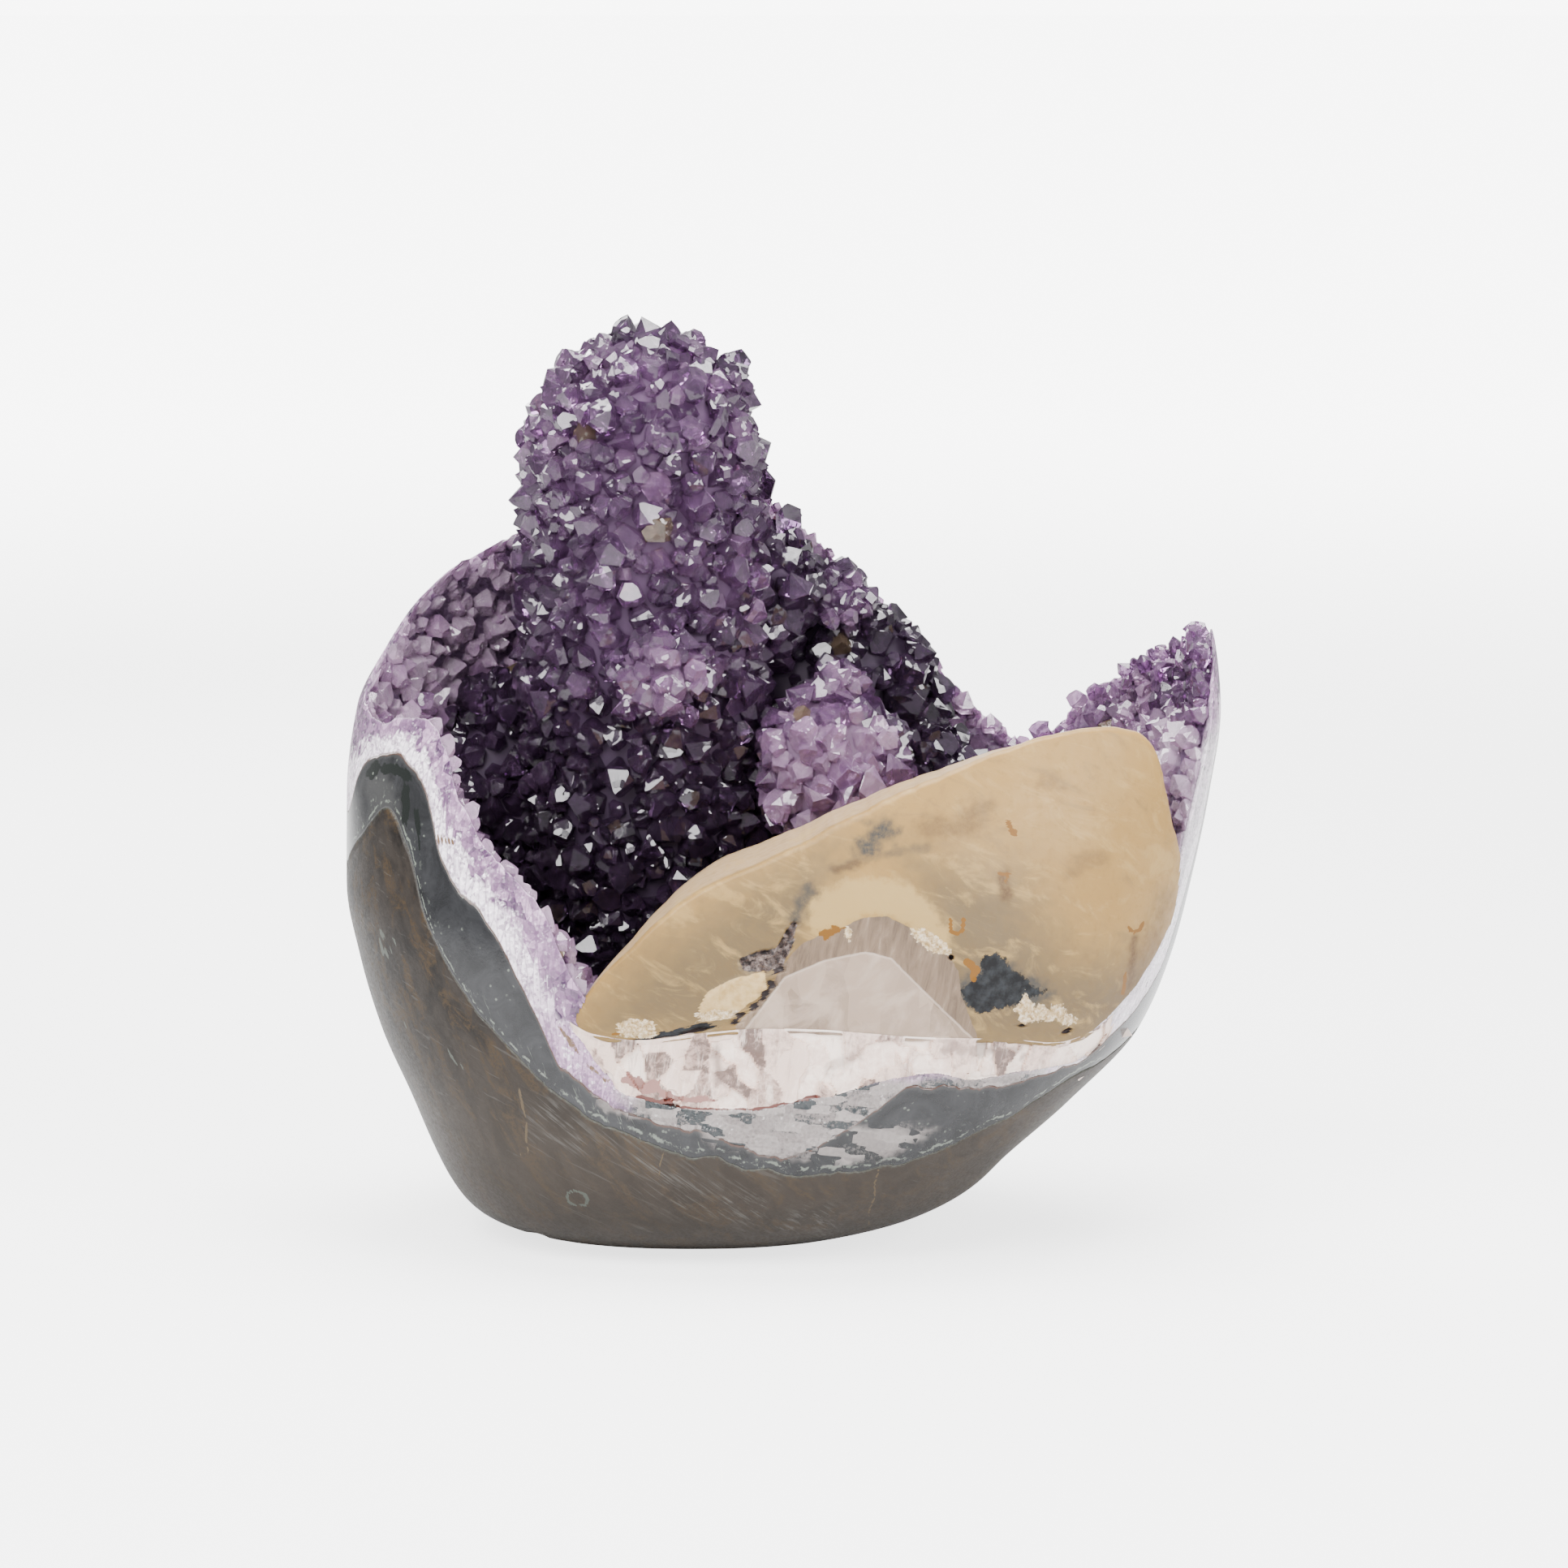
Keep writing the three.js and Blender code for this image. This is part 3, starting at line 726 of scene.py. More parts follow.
@dataclass(frozen=True)
class QuartzRimFinish:
    """Ground edge of the quartz: white to lavender columns that run across it, sparkling grains, some with
    painted glints.
    """

    white: Colour = (0.44, 0.29, 0.43)
    frost: Colour = (0.27, 0.16, 0.27)
    lavender: Colour = (0.16, 0.085, 0.165)
    violet: Colour = (0.045, 0.02, 0.055)
    bed: Colour = (0.06, 0.03, 0.07)
    slate: Colour = (0.026, 0.031, 0.034)
    clear: Colour = (0.9, 0.87, 0.9)
    bright: Colour = (0.92, 0.84, 0.92)
    painted_glint: Colour = (0.76, 0.7, 0.77)
    ash: Colour = (0.28, 0.25, 0.24)
    black: Colour = (0.02, 0.02, 0.022)
    chalk: Colour = (0.18, 0.155, 0.15)
    rust: Colour = (0.13, 0.075, 0.045)

    def material(self) -> Material:
        """Builds the material."""
        r = Recipe("quartz_rim")
        band = r.stored("band").outputs["Vector"]
        mapping = r.add("ShaderNodeMapping", vector_type="POINT")
        r.feed(mapping.inputs["Vector"], band)
        mapping.inputs["Scale"].default_value = (55, 55, 2.4)
        columns = r.cells(mapping.outputs["Vector"], 1.0)
        place = r.position()
        grains = r.cells(place, 0.85)
        sharp = r.cells(place, 1.7)
        fine = r.noise(place, 1.2, 5, 0.7)
        across = r.number("across")
        shift = r.total((columns.outputs["Color"], 0.36), (grains.outputs["Color"], 0.2))
        depth = r.math("ADD", across, r.math("SUBTRACT", shift, 0.28))
        outer = r.ramp(
            depth, (0.0, self.frost), (0.08, self.white), (0.5, self.white), (0.75, self.frost)
        )
        tone = r.total((sharp.outputs["Color"], 0.6), (columns.outputs["Color"], 0.4))
        outer = r.blend(r.span(r.height(), 48, 70, 0.0, 0.95), outer, self.bright)
        outer = r.blend(r.span(tone, 0.46, 0.3, 0.0, 0.6), outer, self.lavender)
        # Grains of the highest tone turn near white: painted glints.
        outer = r.blend(r.span(tone, 0.64, 0.72, 0.0, 0.8), outer, self.painted_glint)
        cut = r.cells(place, 0.36)
        mixed = r.total((cut.outputs["Color"], 0.7), (grains.outputs["Color"], 0.3))
        inner = r.ramp(
            mixed, (0.22, self.violet), (0.45, self.lavender), (0.62, self.frost), (0.8, self.white)
        )
        colour = r.blend(r.span(depth, 0.42, 0.56), outer, inner)
        seams = r.cells(mapping.outputs["Vector"], 1.0, "DISTANCE_TO_EDGE")
        colour = r.blend(r.span(seams.outputs["Distance"], 0.1, 0.02, 0.0, 0.45), colour, self.lavender)
        edge = r.math("ADD", r.number("from_below"), r.math("MULTIPLY", fine, 0.9))
        colour = r.blend(r.span(edge, 0.8, 0.5, 0.0, 0.7), colour, self.rust)
        colour = r.blend(r.crisp("rust", fine, 0.8), colour, self.rust)
        blocks = r.cells(r.position((0.4, 0.4, 1.0), 6), 0.5, metric="CHEBYCHEV")
        torn = r.total((blocks.outputs["Color"], 0.55), (fine, 0.45))
        chalky = r.ramp(torn, (0.36, self.slate), (0.42, self.chalk), (0.7, self.ash))
        colour = r.blend(r.number("chalk"), colour, chalky)
        colour = r.blend(r.math("MULTIPLY", r.number("dendrite"), 0.5), colour, self.clear)
        black = r.span(r.noise(r.position((1.6, 1.6, 0.5), 20), 0.7, 5, 0.75, 1.6), 0.6, 0.64)
        colour = r.blend(r.math("MULTIPLY", black, r.number("dendrite")), colour, self.black)
        # The inner wall below the crystals' feet is painted nearly black: painted shade in the gaps
        # between the crystals.
        bed = r.number("bed")
        colour = r.blend(bed, colour, self.bed)
        height = r.total(
            (columns.outputs["Distance"], 0.7),
            (grains.outputs["Distance"], 1.0),
            (cut.outputs["Distance"], 0.5),
        )
        return r.finish(
            Base_Color=colour,
            Roughness=r.math("ADD", 0.2, r.math("MULTIPLY", bed, 0.4)),
            IOR=1.544,
            Subsurface_Weight=r.math("SUBTRACT", 0.25, r.math("MULTIPLY", bed, 0.25)),
            Subsurface_Radius=(1.0, 0.8, 1.0),
            Subsurface_Scale=1.5 * MM,
            Normal=r.bump(height, 0.35, 0.6, r.facets(sharp, 0.7)),
        )


@dataclass(frozen=True)
class AmethystFinish:
    """Glassy amethyst: each crystal has its own depth of violet, darker deep in the hollow partly as
    painted shade; pale ones are milky.
    """

    ink: Colour = (0.05, 0.032, 0.06)
    violet: Colour = (0.14, 0.075, 0.165)
    purple: Colour = (0.30, 0.16, 0.33)
    lavender: Colour = (0.52, 0.33, 0.52)
    milk: Colour = (0.74, 0.56, 0.73)
    tan: Colour = (0.36, 0.26, 0.18)
    unstained: float = 0.996  # share of the crystals that no iron has stained

    def shade(self, r: Recipe, tone: object) -> Socket:
        """Gives the colour for a tone from 0 to 1."""
        stops = zip(
            (0.0, 0.28, 0.52, 0.78, 1.0), (self.ink, self.violet, self.purple, self.lavender, self.milk)
        )
        return r.ramp(tone, *stops)

    def material(self) -> Material:
        """Builds the crystals' material."""
        r = Recipe("amethyst")
        tone = r.number("tone")
        axial = r.number("axial")
        cells = r.cells(r.position(), 0.75)
        cloud = r.noise(r.position(), 0.6, 4)
        shade = r.math("ADD", tone, r.around_half(cloud, 0.3))
        shade = r.math("ADD", shade, r.around_half(cells.outputs["Color"], 0.16))
        below_tip = r.math("MULTIPLY", r.math("SUBTRACT", 0.6, axial), 0.14)
        shade = r.math("ADD", shade, below_tip, clamp=True)
        stained = r.math("GREATER_THAN", r.number("chance"), self.unstained)
        colour = r.blend(stained, self.shade(r, shade), self.tan)
        return r.finish(
            Base_Color=colour,
            Roughness=0.09,
            Specular_IOR_Level=0.38,
            IOR=1.544,
            Transmission_Weight=r.span(tone, 0.4, 0.8, 0.9, 0.75),
            Normal=r.facets(cells, 0.16),
        )

    def bed(self) -> Material:
        """Builds the dark material of the stone between the crystals' feet: painted shade in the gaps
        between them.
        """
        r = Recipe("amethyst_bed_painted_shade")
        dark = r.blend(0.75, self.shade(r, r.number("tone")), (0.0, 0.0, 0.0))
        return r.finish(Base_Color=dark, Roughness=0.6, Specular_IOR_Level=0.2)


@dataclass(frozen=True)
class CalciteFinish:
    """Frosted honey calcite, cloudy and a little translucent, with rust, dark and clear patches."""

    honey: Colour = (0.265, 0.155, 0.042)
    cream: Colour = (0.28, 0.168, 0.05)
    grey: Colour = (0.10, 0.07, 0.034)
    side: Colour = (0.34, 0.235, 0.135)
    veil: Colour = (0.36, 0.235, 0.085)
    shadow: Colour = (0.17, 0.105, 0.038)
    grain: Colour = (0.14, 0.08, 0.025)
    pale: Colour = (0.35, 0.235, 0.085)
    smoke: Colour = (0.030, 0.030, 0.029)
    umber: Colour = (0.075, 0.038, 0.012)
    rust: Colour = (0.15, 0.06, 0.002)
    pit: Colour = (0.02, 0.012, 0.012)
    glow: Colour = (0.40, 0.31, 0.25)
    facet_edge: Colour = (0.45, 0.37, 0.31)

    def material(self) -> Material:
        """Builds the material."""
        r = Recipe("honey_calcite")
        place = r.position()
        cloud = r.noise(r.position((1, 1, 1.6), 20), 0.05, 5, 0.55, 0.8)
        colour = r.ramp(cloud, (0.38, self.honey), (0.62, self.cream))
        colour = r.blend(r.number("grey"), colour, self.grey)
        colour = r.blend(r.span(r.number("side"), 0.0, 0.3, 0.0, 0.85), colour, self.side)
        fine = r.noise(place, 0.5, 6, 0.65)
        sharp = r.noise(place, 1.3, 5, 0.72)
        veil = r.noise(r.position((0.5, 1, 1.5), 25), 0.14, 6, 0.65, 1.0)
        colour = r.blend(r.span(veil, 0.5, 0.68, 0.0, 0.55), colour, self.veil)
        colour = r.blend(r.span(veil, 0.46, 0.3, 0.0, 0.45), colour, self.shadow)
        colour = r.blend(r.span(fine, 0.5, 0.68, 0.0, 0.2), colour, self.grain)
        for name, shade in (("smoke", self.smoke), ("umber", self.umber)):
            cloudy = r.math("MULTIPLY", r.number(name), r.span(sharp, 0.3, 0.65, 0.85, 1.25), clamp=True)
            colour = r.blend(cloudy, colour, shade)
        ragged = r.math("ADD", r.number("pale"), r.around_half(fine, 1.0))
        colour = r.blend(r.span(ragged, 0.15, 0.7, 0.0, 0.9), colour, self.pale)
        colour = r.blend(r.crisp("window", sharp, 0.15), colour, self.clear(r, sharp))
        pores = r.noise(place, 0.7, 4, 0.7)
        porous = r.ramp(
            pores, (0.4, (0.012, 0.008, 0.008)), (0.5, (0.07, 0.048, 0.042)), (0.68, (0.2, 0.155, 0.14))
        )
        colour = r.blend(r.crisp("vug", sharp, 0.5), colour, porous)
        # Chalk lumps: cream to pale, with the darker low end partly painted shadow between the lumps.
        lumpy = r.ramp(
            sharp, (0.38, (0.24, 0.155, 0.06)), (0.5, (0.42, 0.31, 0.17)), (0.66, (0.6, 0.52, 0.42))
        )
        coaly = r.ramp(fine, (0.4, (0.002, 0.002, 0.003)), (0.64, (0.020, 0.022, 0.025)))
        slab = r.ramp(fine, (0.35, (0.34, 0.22, 0.08)), (0.62, (0.46, 0.33, 0.16)))
        for name, shade, amount in (
            ("coal", coaly, 1.0),
            ("slab", slab, 0.4),
            ("chalk", lumpy, 1.3),
            ("rust", self.rust, 0.9),
            ("pit", self.pit, 0.9),
        ):
            colour = r.blend(r.crisp(name, sharp, amount), colour, shade)
        frosted = r.span(fine, 0.3, 0.8, 0.42, 0.55)
        return r.finish(
            Base_Color=colour,
            Roughness=r.math("ADD", frosted, r.span(r.number("coal"), 0.2, 0.6, 0.0, 0.35)),
            Specular_IOR_Level=0.25,
            IOR=1.56,
            Subsurface_Weight=0.4,
            Subsurface_Radius=(1.0, 0.75, 0.5),
            Subsurface_Scale=3 * MM,
            Normal=r.bump(r.noise(place, 0.16, 4), 0.3, 0.4, r.bump(fine, 0.06, 0.4)),
        )

    def clear(self, r: Recipe, sharp: object) -> Socket:
        """Gives the window's colour: brownish round a pale pinkish facet with faint cleavage planes."""
        streaks = r.noise(r.position((1.6, 1, 0.25), 12), 0.35, 5, 0.65, 0.6)
        around = r.ramp(
            streaks, (0.35, (0.10, 0.068, 0.045)), (0.6, (0.18, 0.125, 0.085)), (0.75, (0.3, 0.23, 0.17))
        )
        planes = r.cells(r.position((0.95, 1, 0.3), 3), 0.17, metric="CHEBYCHEV")
        slants = r.cells(r.position((0.5, 1, 0.9), 48), 0.13, metric="CHEBYCHEV")
        level = r.total((planes.outputs["Color"], 0.6), (slants.outputs["Color"], 0.4))
        facet = r.ramp(level, (0.2, (0.17, 0.12, 0.085)), (0.8, (0.34, 0.255, 0.195)))
        glow = r.span(r.noise(r.position((0.7, 1, 1.2), -30), 0.12, 5, 0.6, 0.6), 0.42, 0.66, 0.0, 0.7)
        facet = r.blend(glow, facet, self.glow)
        colour = r.blend(r.crisp("facet", sharp, 0.15), around, facet)
        rim = r.math("MULTIPLY", r.number("facet"), r.math("SUBTRACT", 1.0, r.number("facet")))
        return r.blend(r.span(rim, 0.17, 0.24, 0.0, 0.5), colour, self.facet_edge)


@dataclass(frozen=True)
class SparFinish:
    """White to pink cleaved calcite, with an iron-red line along its lower edge."""

    white: Colour = (0.66, 0.50, 0.43)
    bright: Colour = (0.85, 0.72, 0.64)
    pink: Colour = (0.33, 0.225, 0.19)
    brown: Colour = (0.12, 0.075, 0.062)
    red: Colour = (0.10, 0.025, 0.018)
    stain: Colour = (0.26, 0.13, 0.11)

    def material(self) -> Material:
        """Builds the material."""
        r = Recipe("white_spar")
        place = r.position()
        fine = r.noise(place, 0.5, 6, 0.68, 0.4)
        sharp = r.noise(place, 1.4, 5, 0.72)
        tone = r.math("ADD", r.number("block"), r.around_half(fine, 0.9))
        colour = r.ramp(
            tone,
            (0.0, self.brown),
            (0.12, self.pink),
            (0.36, self.white),
            (0.6, self.white),
            (0.85, self.bright),
        )
        sheen = r.noise(r.position((1.5, 1, 0.3), 8), 0.4, 5, 0.66, 0.5)
        colour = r.blend(r.span(sheen, 0.5, 0.7, 0.0, 0.6), colour, self.bright)
        colour = r.blend(r.span(sheen, 0.42, 0.3, 0.0, 0.45), colour, self.pink)
        colour = r.blend(r.number("brown"), colour, self.brown)
        colour = r.blend(r.crisp("stain", sharp, 1.0), colour, self.stain)
        colour = r.blend(r.crisp("red", sharp, 0.8), colour, self.red)
        return r.finish(
            Base_Color=colour,
            Roughness=0.3,
            IOR=1.56,
            Subsurface_Weight=0.3,
            Subsurface_Radius=(1.0, 0.8, 0.7),
            Subsurface_Scale=1.5 * MM,
            Normal=r.bump(fine, 0.25, 0.5),
        )


# Rind


@dataclass(frozen=True)
class Patch:
    """A mark on the front: an ellipse round (x, z), or a line through places."""

    name: str
    through: Pairs
    width: float
    height: float = 0.0
    strength: float = 1.0
    softness: float = 0.5
    ragged: float = 0.25
    outline: float = 0.0  # above 0, only a line along the edge is marked, this wide a share of the size

    def cover(self, x: Array, z: Array, wander: Array) -> Array:
        """Gives how far the mark covers places, from 0 to 1."""
        places = np.array(self.through, float)
        tall = self.height or self.width
        u, v = x / self.width, z / tall
        ends = places / (self.width, tall)
        if len(places) == 1:
            away = np.hypot(u - ends[0, 0], v - ends[0, 1])
        else:
            away = np.full(x.shape, np.inf)
            for a, b in zip(ends[:-1], ends[1:]):
                way = b - a
                t = np.clip(((u - a[0]) * way[0] + (v - a[1]) * way[1]) / (way @ way), 0, 1)
                away = np.minimum(away, np.hypot(u - a[0] - t * way[0], v - a[1] - t * way[1]))
        away = away + self.ragged * wander
        if self.outline:
            away = np.abs(away - 1) / self.outline
        return self.strength * smooth_step(away, 1.0, 1.0 - self.softness)


@dataclass(frozen=True)
class Field:
    """A mark on the front that fills a polygon of places (x, z); its edge is soft and wanders, in mm."""

    name: str
    corners: Pairs
    softness: float = 0.6
    strength: float = 1.0
    ragged: float = 0.4

    def cover(self, x: Array, z: Array, wander: Array) -> Array:
        """Gives how far the mark covers places, from 0 to 1."""
        corners = np.array(self.corners)
        nearest = np.full(x.shape, np.inf)
        inside = np.zeros(x.shape, bool)
        for a, b in zip(corners, np.roll(corners, -1, axis=0)):
            way = b - a
            t = np.clip(((x - a[0]) * way[0] + (z - a[1]) * way[1]) / (way @ way), 0, 1)
            nearest = np.minimum(nearest, np.hypot(x - a[0] - t * way[0], z - a[1] - t * way[1]))
            if abs(way[1]) > 1e-9:
                crosses = (a[1] > z) != (b[1] > z)
                inside ^= crosses & (x < a[0] + (z - a[1]) * way[0] / way[1])
        depth = np.where(inside, nearest, -nearest) + self.ragged * wander
        return self.strength * smooth_step(depth, -self.softness, self.softness)


def covers_of(patches: Sequence[Patch | Field], points: Array, wander: Array) -> dict[str, Array]:
    """Gives how far patches on the front cover points, name by name."""
    covers: dict[str, Array] = {}
    for patch in patches:
        cover = patch.cover(points[:, 0], points[:, 2], wander) * (points[:, 1] < 0)
        covers[patch.name] = np.maximum(covers.get(patch.name, 0 * cover), cover)
    return covers


@dataclass
class Rind:
    """One layer of the rind as a closed shell: its outer wall, its ground band and its inner wall.

    Args:
        name: name of the piece.
        node: the CAD node that it stands for.
        slot: the record's slot.
        inner: its inner face.
        below: the inner face of the layer outside it; None for the outermost, which has the base.
    """

    name: str
    node: str
    slot: Slot
    inner: Layer
    below: Optional[Layer]
    band_rows: int
    wall_rows: int = 10
    columns: int = 560
    crowd: float = 0.4
    seam: float = 0.05  # gap to the layer outside
    base_rows: int = 8
    evenness: float = 1.0  # above 1, the band's rows lie closer together low down
    patches: tuple[Patch | Field, ...] = ()

    def build(self) -> Piece:
        """Builds the shell, with how far each vertex is from the band's two edges."""
        start_rows = self.base_rows if self.below is None else self.wall_rows
        rows = start_rows + self.band_rows + self.wall_rows
        piece, bearing, row = sphere_net(self.name, self.columns, rows, self.crowd)
        top = self.inner.edge_height(bearing)
        low = 0 * top if self.below is None else self.below.edge_height(bearing) + self.seam
        step = np.clip((row - start_rows) / self.band_rows, 0, 1)
        band = OUTSIDE.point(bearing, 1.0, low + (top - low) * step**self.evenness)
        start = np.clip(row / start_rows, 0, 1)
        if self.below is None:
            under = OUTSIDE.point(bearing, start, 0 * bearing)
        else:
            under = self.below.wall(bearing, start, low - self.seam)
            under[:, 2] += self.seam
        wall = self.inner.wall(bearing, np.clip((rows - row) / self.wall_rows, 0, 1), top)
        points = np.where((row < start_rows)[:, None], under, band)
        points = np.where((row > start_rows + self.band_rows)[:, None], wall, points)
        bed_step = np.clip((row - start_rows - self.band_rows) / self.wall_rows, 0, 1)
        points = self.shape(points, bed_step)
        move_vertices(piece, points)
        turn_faces_out(piece)
        bpy.ops.object.shade_smooth()
        store(piece, "across", step)
        store(piece, "from_below", points[:, 2] - low)
        store(piece, "from_above", top - points[:, 2])
        store(piece, "band", place(np.cos(bearing), np.sin(bearing), step))
        store(piece, "bed", (bed_step > 0).astype(float))
        self.mark(piece, points)
        return piece

    def shape(self, points: Array, bed_step: Array) -> Array:
        """Gives the shell's points their finer shape; a plain layer keeps them as they are.

        Args:
            points: the shell's vertices, in mm.
            bed_step: above 0 on the inner wall.

        Returns:
            The shaped vertices.
        """
        return points

    def mark(self, piece: Piece, points: Array) -> None:
        """Stores the layer's patches of colour."""
        store_all(piece, covers_of(self.patches, points, grain(points, 2.5, 3)))


@dataclass
class BasaltRind(Rind):
    """The basalt outside, with the chip in its lower edge."""

    chip: Point = (-52.5, -30.0, 1.5)
    chip_depth: float = 1.2
    patches: tuple[Patch, ...] = (
        Patch(
            "vein",
            ((-54.8, 39.3), (-54.2, 35.5), (-53.5, 32.3), (-53.6, 28.5), (-53.1, 25.1)),
            0.36, 0.36, 0.8, 0.9, 0.5,
        ),
        Patch(
            "vein",
            ((19.7, 22.6), (18.8, 19.0), (18.9, 15.7), (17.7, 12.0), (17.9, 7.5)),
            0.36, 0.36, 0.8, 0.9, 0.5,
        ),
        Patch("vein", ((-24.1, 28.9), (-25.5, 25.0), (-25.8, 21.6)), 0.36, 0.36, 0.7, 0.9, 0.5),
        Patch("vein", ((-62.0, 27.0), (-58.0, 24.5), (-53.5, 24.5)), 0.36, 0.36, 0.65, 0.9, 0.7),
        Patch("ring", ((-83.2, 66.2),), 1.9, 2.0, 1.0, 0.9, 0.25, outline=0.3),
        Patch("ring", ((-80.0, 48.9),), 0.9, 0.8, 1.0, 0.9, 0.3, outline=0.5),
        Patch("ring", ((-43.0, 15.5),), 2.2, 1.7, 0.8, 0.9, 0.3, outline=0.35),
        Patch("ring", ((-70.0, 45.0), (-67.0, 42.0)), 0.5, 0.5, 0.8, 0.9, 0.5),
        Patch("brush", ((-46, 33), (-34, 24), (-14, 15.5), (6, 11)), 11.0, 9.0, 1.0, 0.9, 0.2),
        Patch("brush", ((28, 30), (44, 33)), 12.0, 5.0, 0.6, 0.9, 0.2),
    )

    def shape(self, points: Array, bed_step: Array) -> Array:
        """Knocks the chip out of the lower edge."""
        away = np.linalg.norm((points - self.chip) * (1, 0.25, 1), axis=1)
        depth = self.chip_depth * smooth_step(away, 3.0, 0.8)
        points[:, 2] += depth * (points[:, 2] < 4)
        return points


@dataclass
class AgateBand(Rind):
    """The agate, mossy at its left tip, chalky below the spar and clear at the right-hand edge."""

    patches: tuple[Patch | Field, ...] = (
        Patch(
            "moss",
            ((-87.2, 100.8), (-85.0, 102.2), (-81.5, 102.6), (-78.8, 101.4)),
            1.6, 1.9, 1.0, 0.7, 0.7,
        ),
        Patch("moss", ((-78.9, 99.0), (-79.1, 92.5)), 1.0, 1.0, 1.0, 0.5, 0.3),
        Patch("moss", ((-76.5, 95.0), (-76.0, 88.0)), 0.9, 1.2, 0.8, 0.7, 0.8),
        Patch("cloud", ((-85.5, 98), (-83, 91)), 5.0, 7.0, 0.9, 0.9, 0.3),
        Patch("cloud", ((-89, 86),), 4.0, 9.0, 0.7, 0.9, 0.3),
        Field("chalk", (
            (-18.5, 33.7), (-11.1, 34.3), (-2.3, 31.1), (8.1, 31.0), (13.4, 32.0), (22, 32.5), (31, 31),
            (22.2, 25.3), (13.4, 24.0), (-4.1, 27.3), (-14.6, 29.2),
        ), 1.6, 1.0, 1.2),
        Patch("chalk", ((-38, 38.5), (-31, 35.5)), 2.6, 2.2, 0.8, 0.6, 0.6),
    )

    def mark(self, piece: Piece, points: Array) -> None:
        """Adds the clear part on the right and its dendrites."""
        super().mark(piece, points)
        right = smooth_step(points[:, 0], 64, 80) * smooth_step(points[:, 1], -42, -30)
        rough = 3 * grain(points, 8, 2)
        store(piece, "clear", right * smooth_step(points[:, 1] + rough, 22, 8))
        store(piece, "dendrite", right * smooth_step(points[:, 1] + rough, 4, -8))


@dataclass
class QuartzLayer(Rind):
    """The quartz crust below its crystals, which stays behind the calcite at the front."""

    bed_depth: float = 0.02  # of its inner wall below the crystals' feet, as a share of the way out
    bed_reach: float = 0.985
    tucked_reach: float = 0.95  # how far out it comes behind the calcite
    patches: tuple[Patch | Field, ...] = (
        Patch("rust", ((-71.6, 89.6), (-69.0, 89.3)), 1.0, 0.8, 0.9, 0.8, 0.6),
        Patch(
            "rust",
            ((-47.5, 54.5), (-44.5, 50.5), (-41.0, 46.0), (-36.5, 42.0)),
            0.8, 0.6, 0.55, 0.9, 0.9,
        ),
    )

    def shape(self, points: Array, bed_step: Array) -> Array:
        """Draws the crust back where the calcite and its spar stand in front of it."""
        x, z = points[:, 0], points[:, 2]
        inside = CalciteOutline().inside(x, z, 1.2) | SparBed().inside(x, z, 0.8)
        inside &= points[:, 1] < -8
        share, angle = OUTSIDE.share(points)
        back = OUTSIDE.point(angle, np.minimum(share, self.tucked_reach), z)
        points = np.where(inside[:, None], back, points)
        deeper = np.maximum(share, np.minimum(share + self.bed_depth, self.bed_reach))
        sunk = OUTSIDE.point(angle, deeper, z)
        sunk[:, 2] -= 1.0
        return np.where((bed_step > 0)[:, None], sunk, points)

    def mark(self, piece: Piece, points: Array) -> None:
        """Adds the chalky stretch below the spar and the dark dashes at the right."""
        super().mark(piece, points)
        low = smooth_step(points[:, 2] + grain(points, 6), 45, 41) * (points[:, 1] < -45)
        store(piece, "chalk", low * smooth_step(points[:, 0] + 2 * grain(points, 6), -36, -30))
        right = smooth_step(points[:, 0], 48, 60) * smooth_step(points[:, 1], 6, -4)
        store(piece, "dendrite", right * smooth_step(points[:, 2], 112, 104))


# Calcite


@dataclass(frozen=True)
class CalciteOutline:
    """Outline of the crystal's ground face, seen from the front, from its left tip over the top."""

    places: Pairs = (
        (-43.9, 53.6), (-42.4, 57.2), (-37.7, 63.5), (-31.8, 69.6), (-25.1, 76.0), (-17.6, 81.6),
        (-11.0, 84.6), (-2.7, 88.1), (5.7, 92.1), (14.0, 96.3), (22.4, 100.2), (30.8, 103.5),
        (39.2, 106.7), (47.7, 109.3), (56.2, 111.3), (64.0, 112.1), (70.9, 111.5), (74.9, 109.9),
        (77.8, 106.8), (79.3, 102.3), (81.0, 93.6), (83.0, 86.7), (84.2, 78.6), (83.3, 71.4),
        (80.9, 65.5), (77.6, 60.5), (74.0, 55.9), (69.5, 51.6), (64.1, 47.8), (57.7, 46.5),
        (47.7, 48.2), (35.8, 49.4), (27.4, 50.0), (15.7, 51.3), (6.3, 52.0), (-4.3, 52.3),
        (-16.0, 51.4), (-30.2, 49.6), (-39.4, 50.6),
    )
    middle: tuple[float, float] = (20.0, 78.0)

    def reach(self, angle: Array) -> Array:
        """Gives the outline's distance from its middle at angles from +X towards +Z."""
        offset = np.array(self.places) - self.middle
        around = np.degrees(np.arctan2(offset[:, 1], offset[:, 0])) % 360
        order = np.argsort(around)
        pairs = tuple(zip(around[order].tolist(), np.hypot(*offset.T)[order].tolist()))
        return SmoothCurve(pairs, turn=360.0)(np.degrees(angle))

    def inside(self, x: Array, z: Array, margin: float) -> Array:
        """Tells which places lie inside the outline by more than a margin."""
        dx, dz = x - self.middle[0], z - self.middle[1]
        return np.hypot(dx, dz) < self.reach(np.arctan2(dz, dx)) - margin


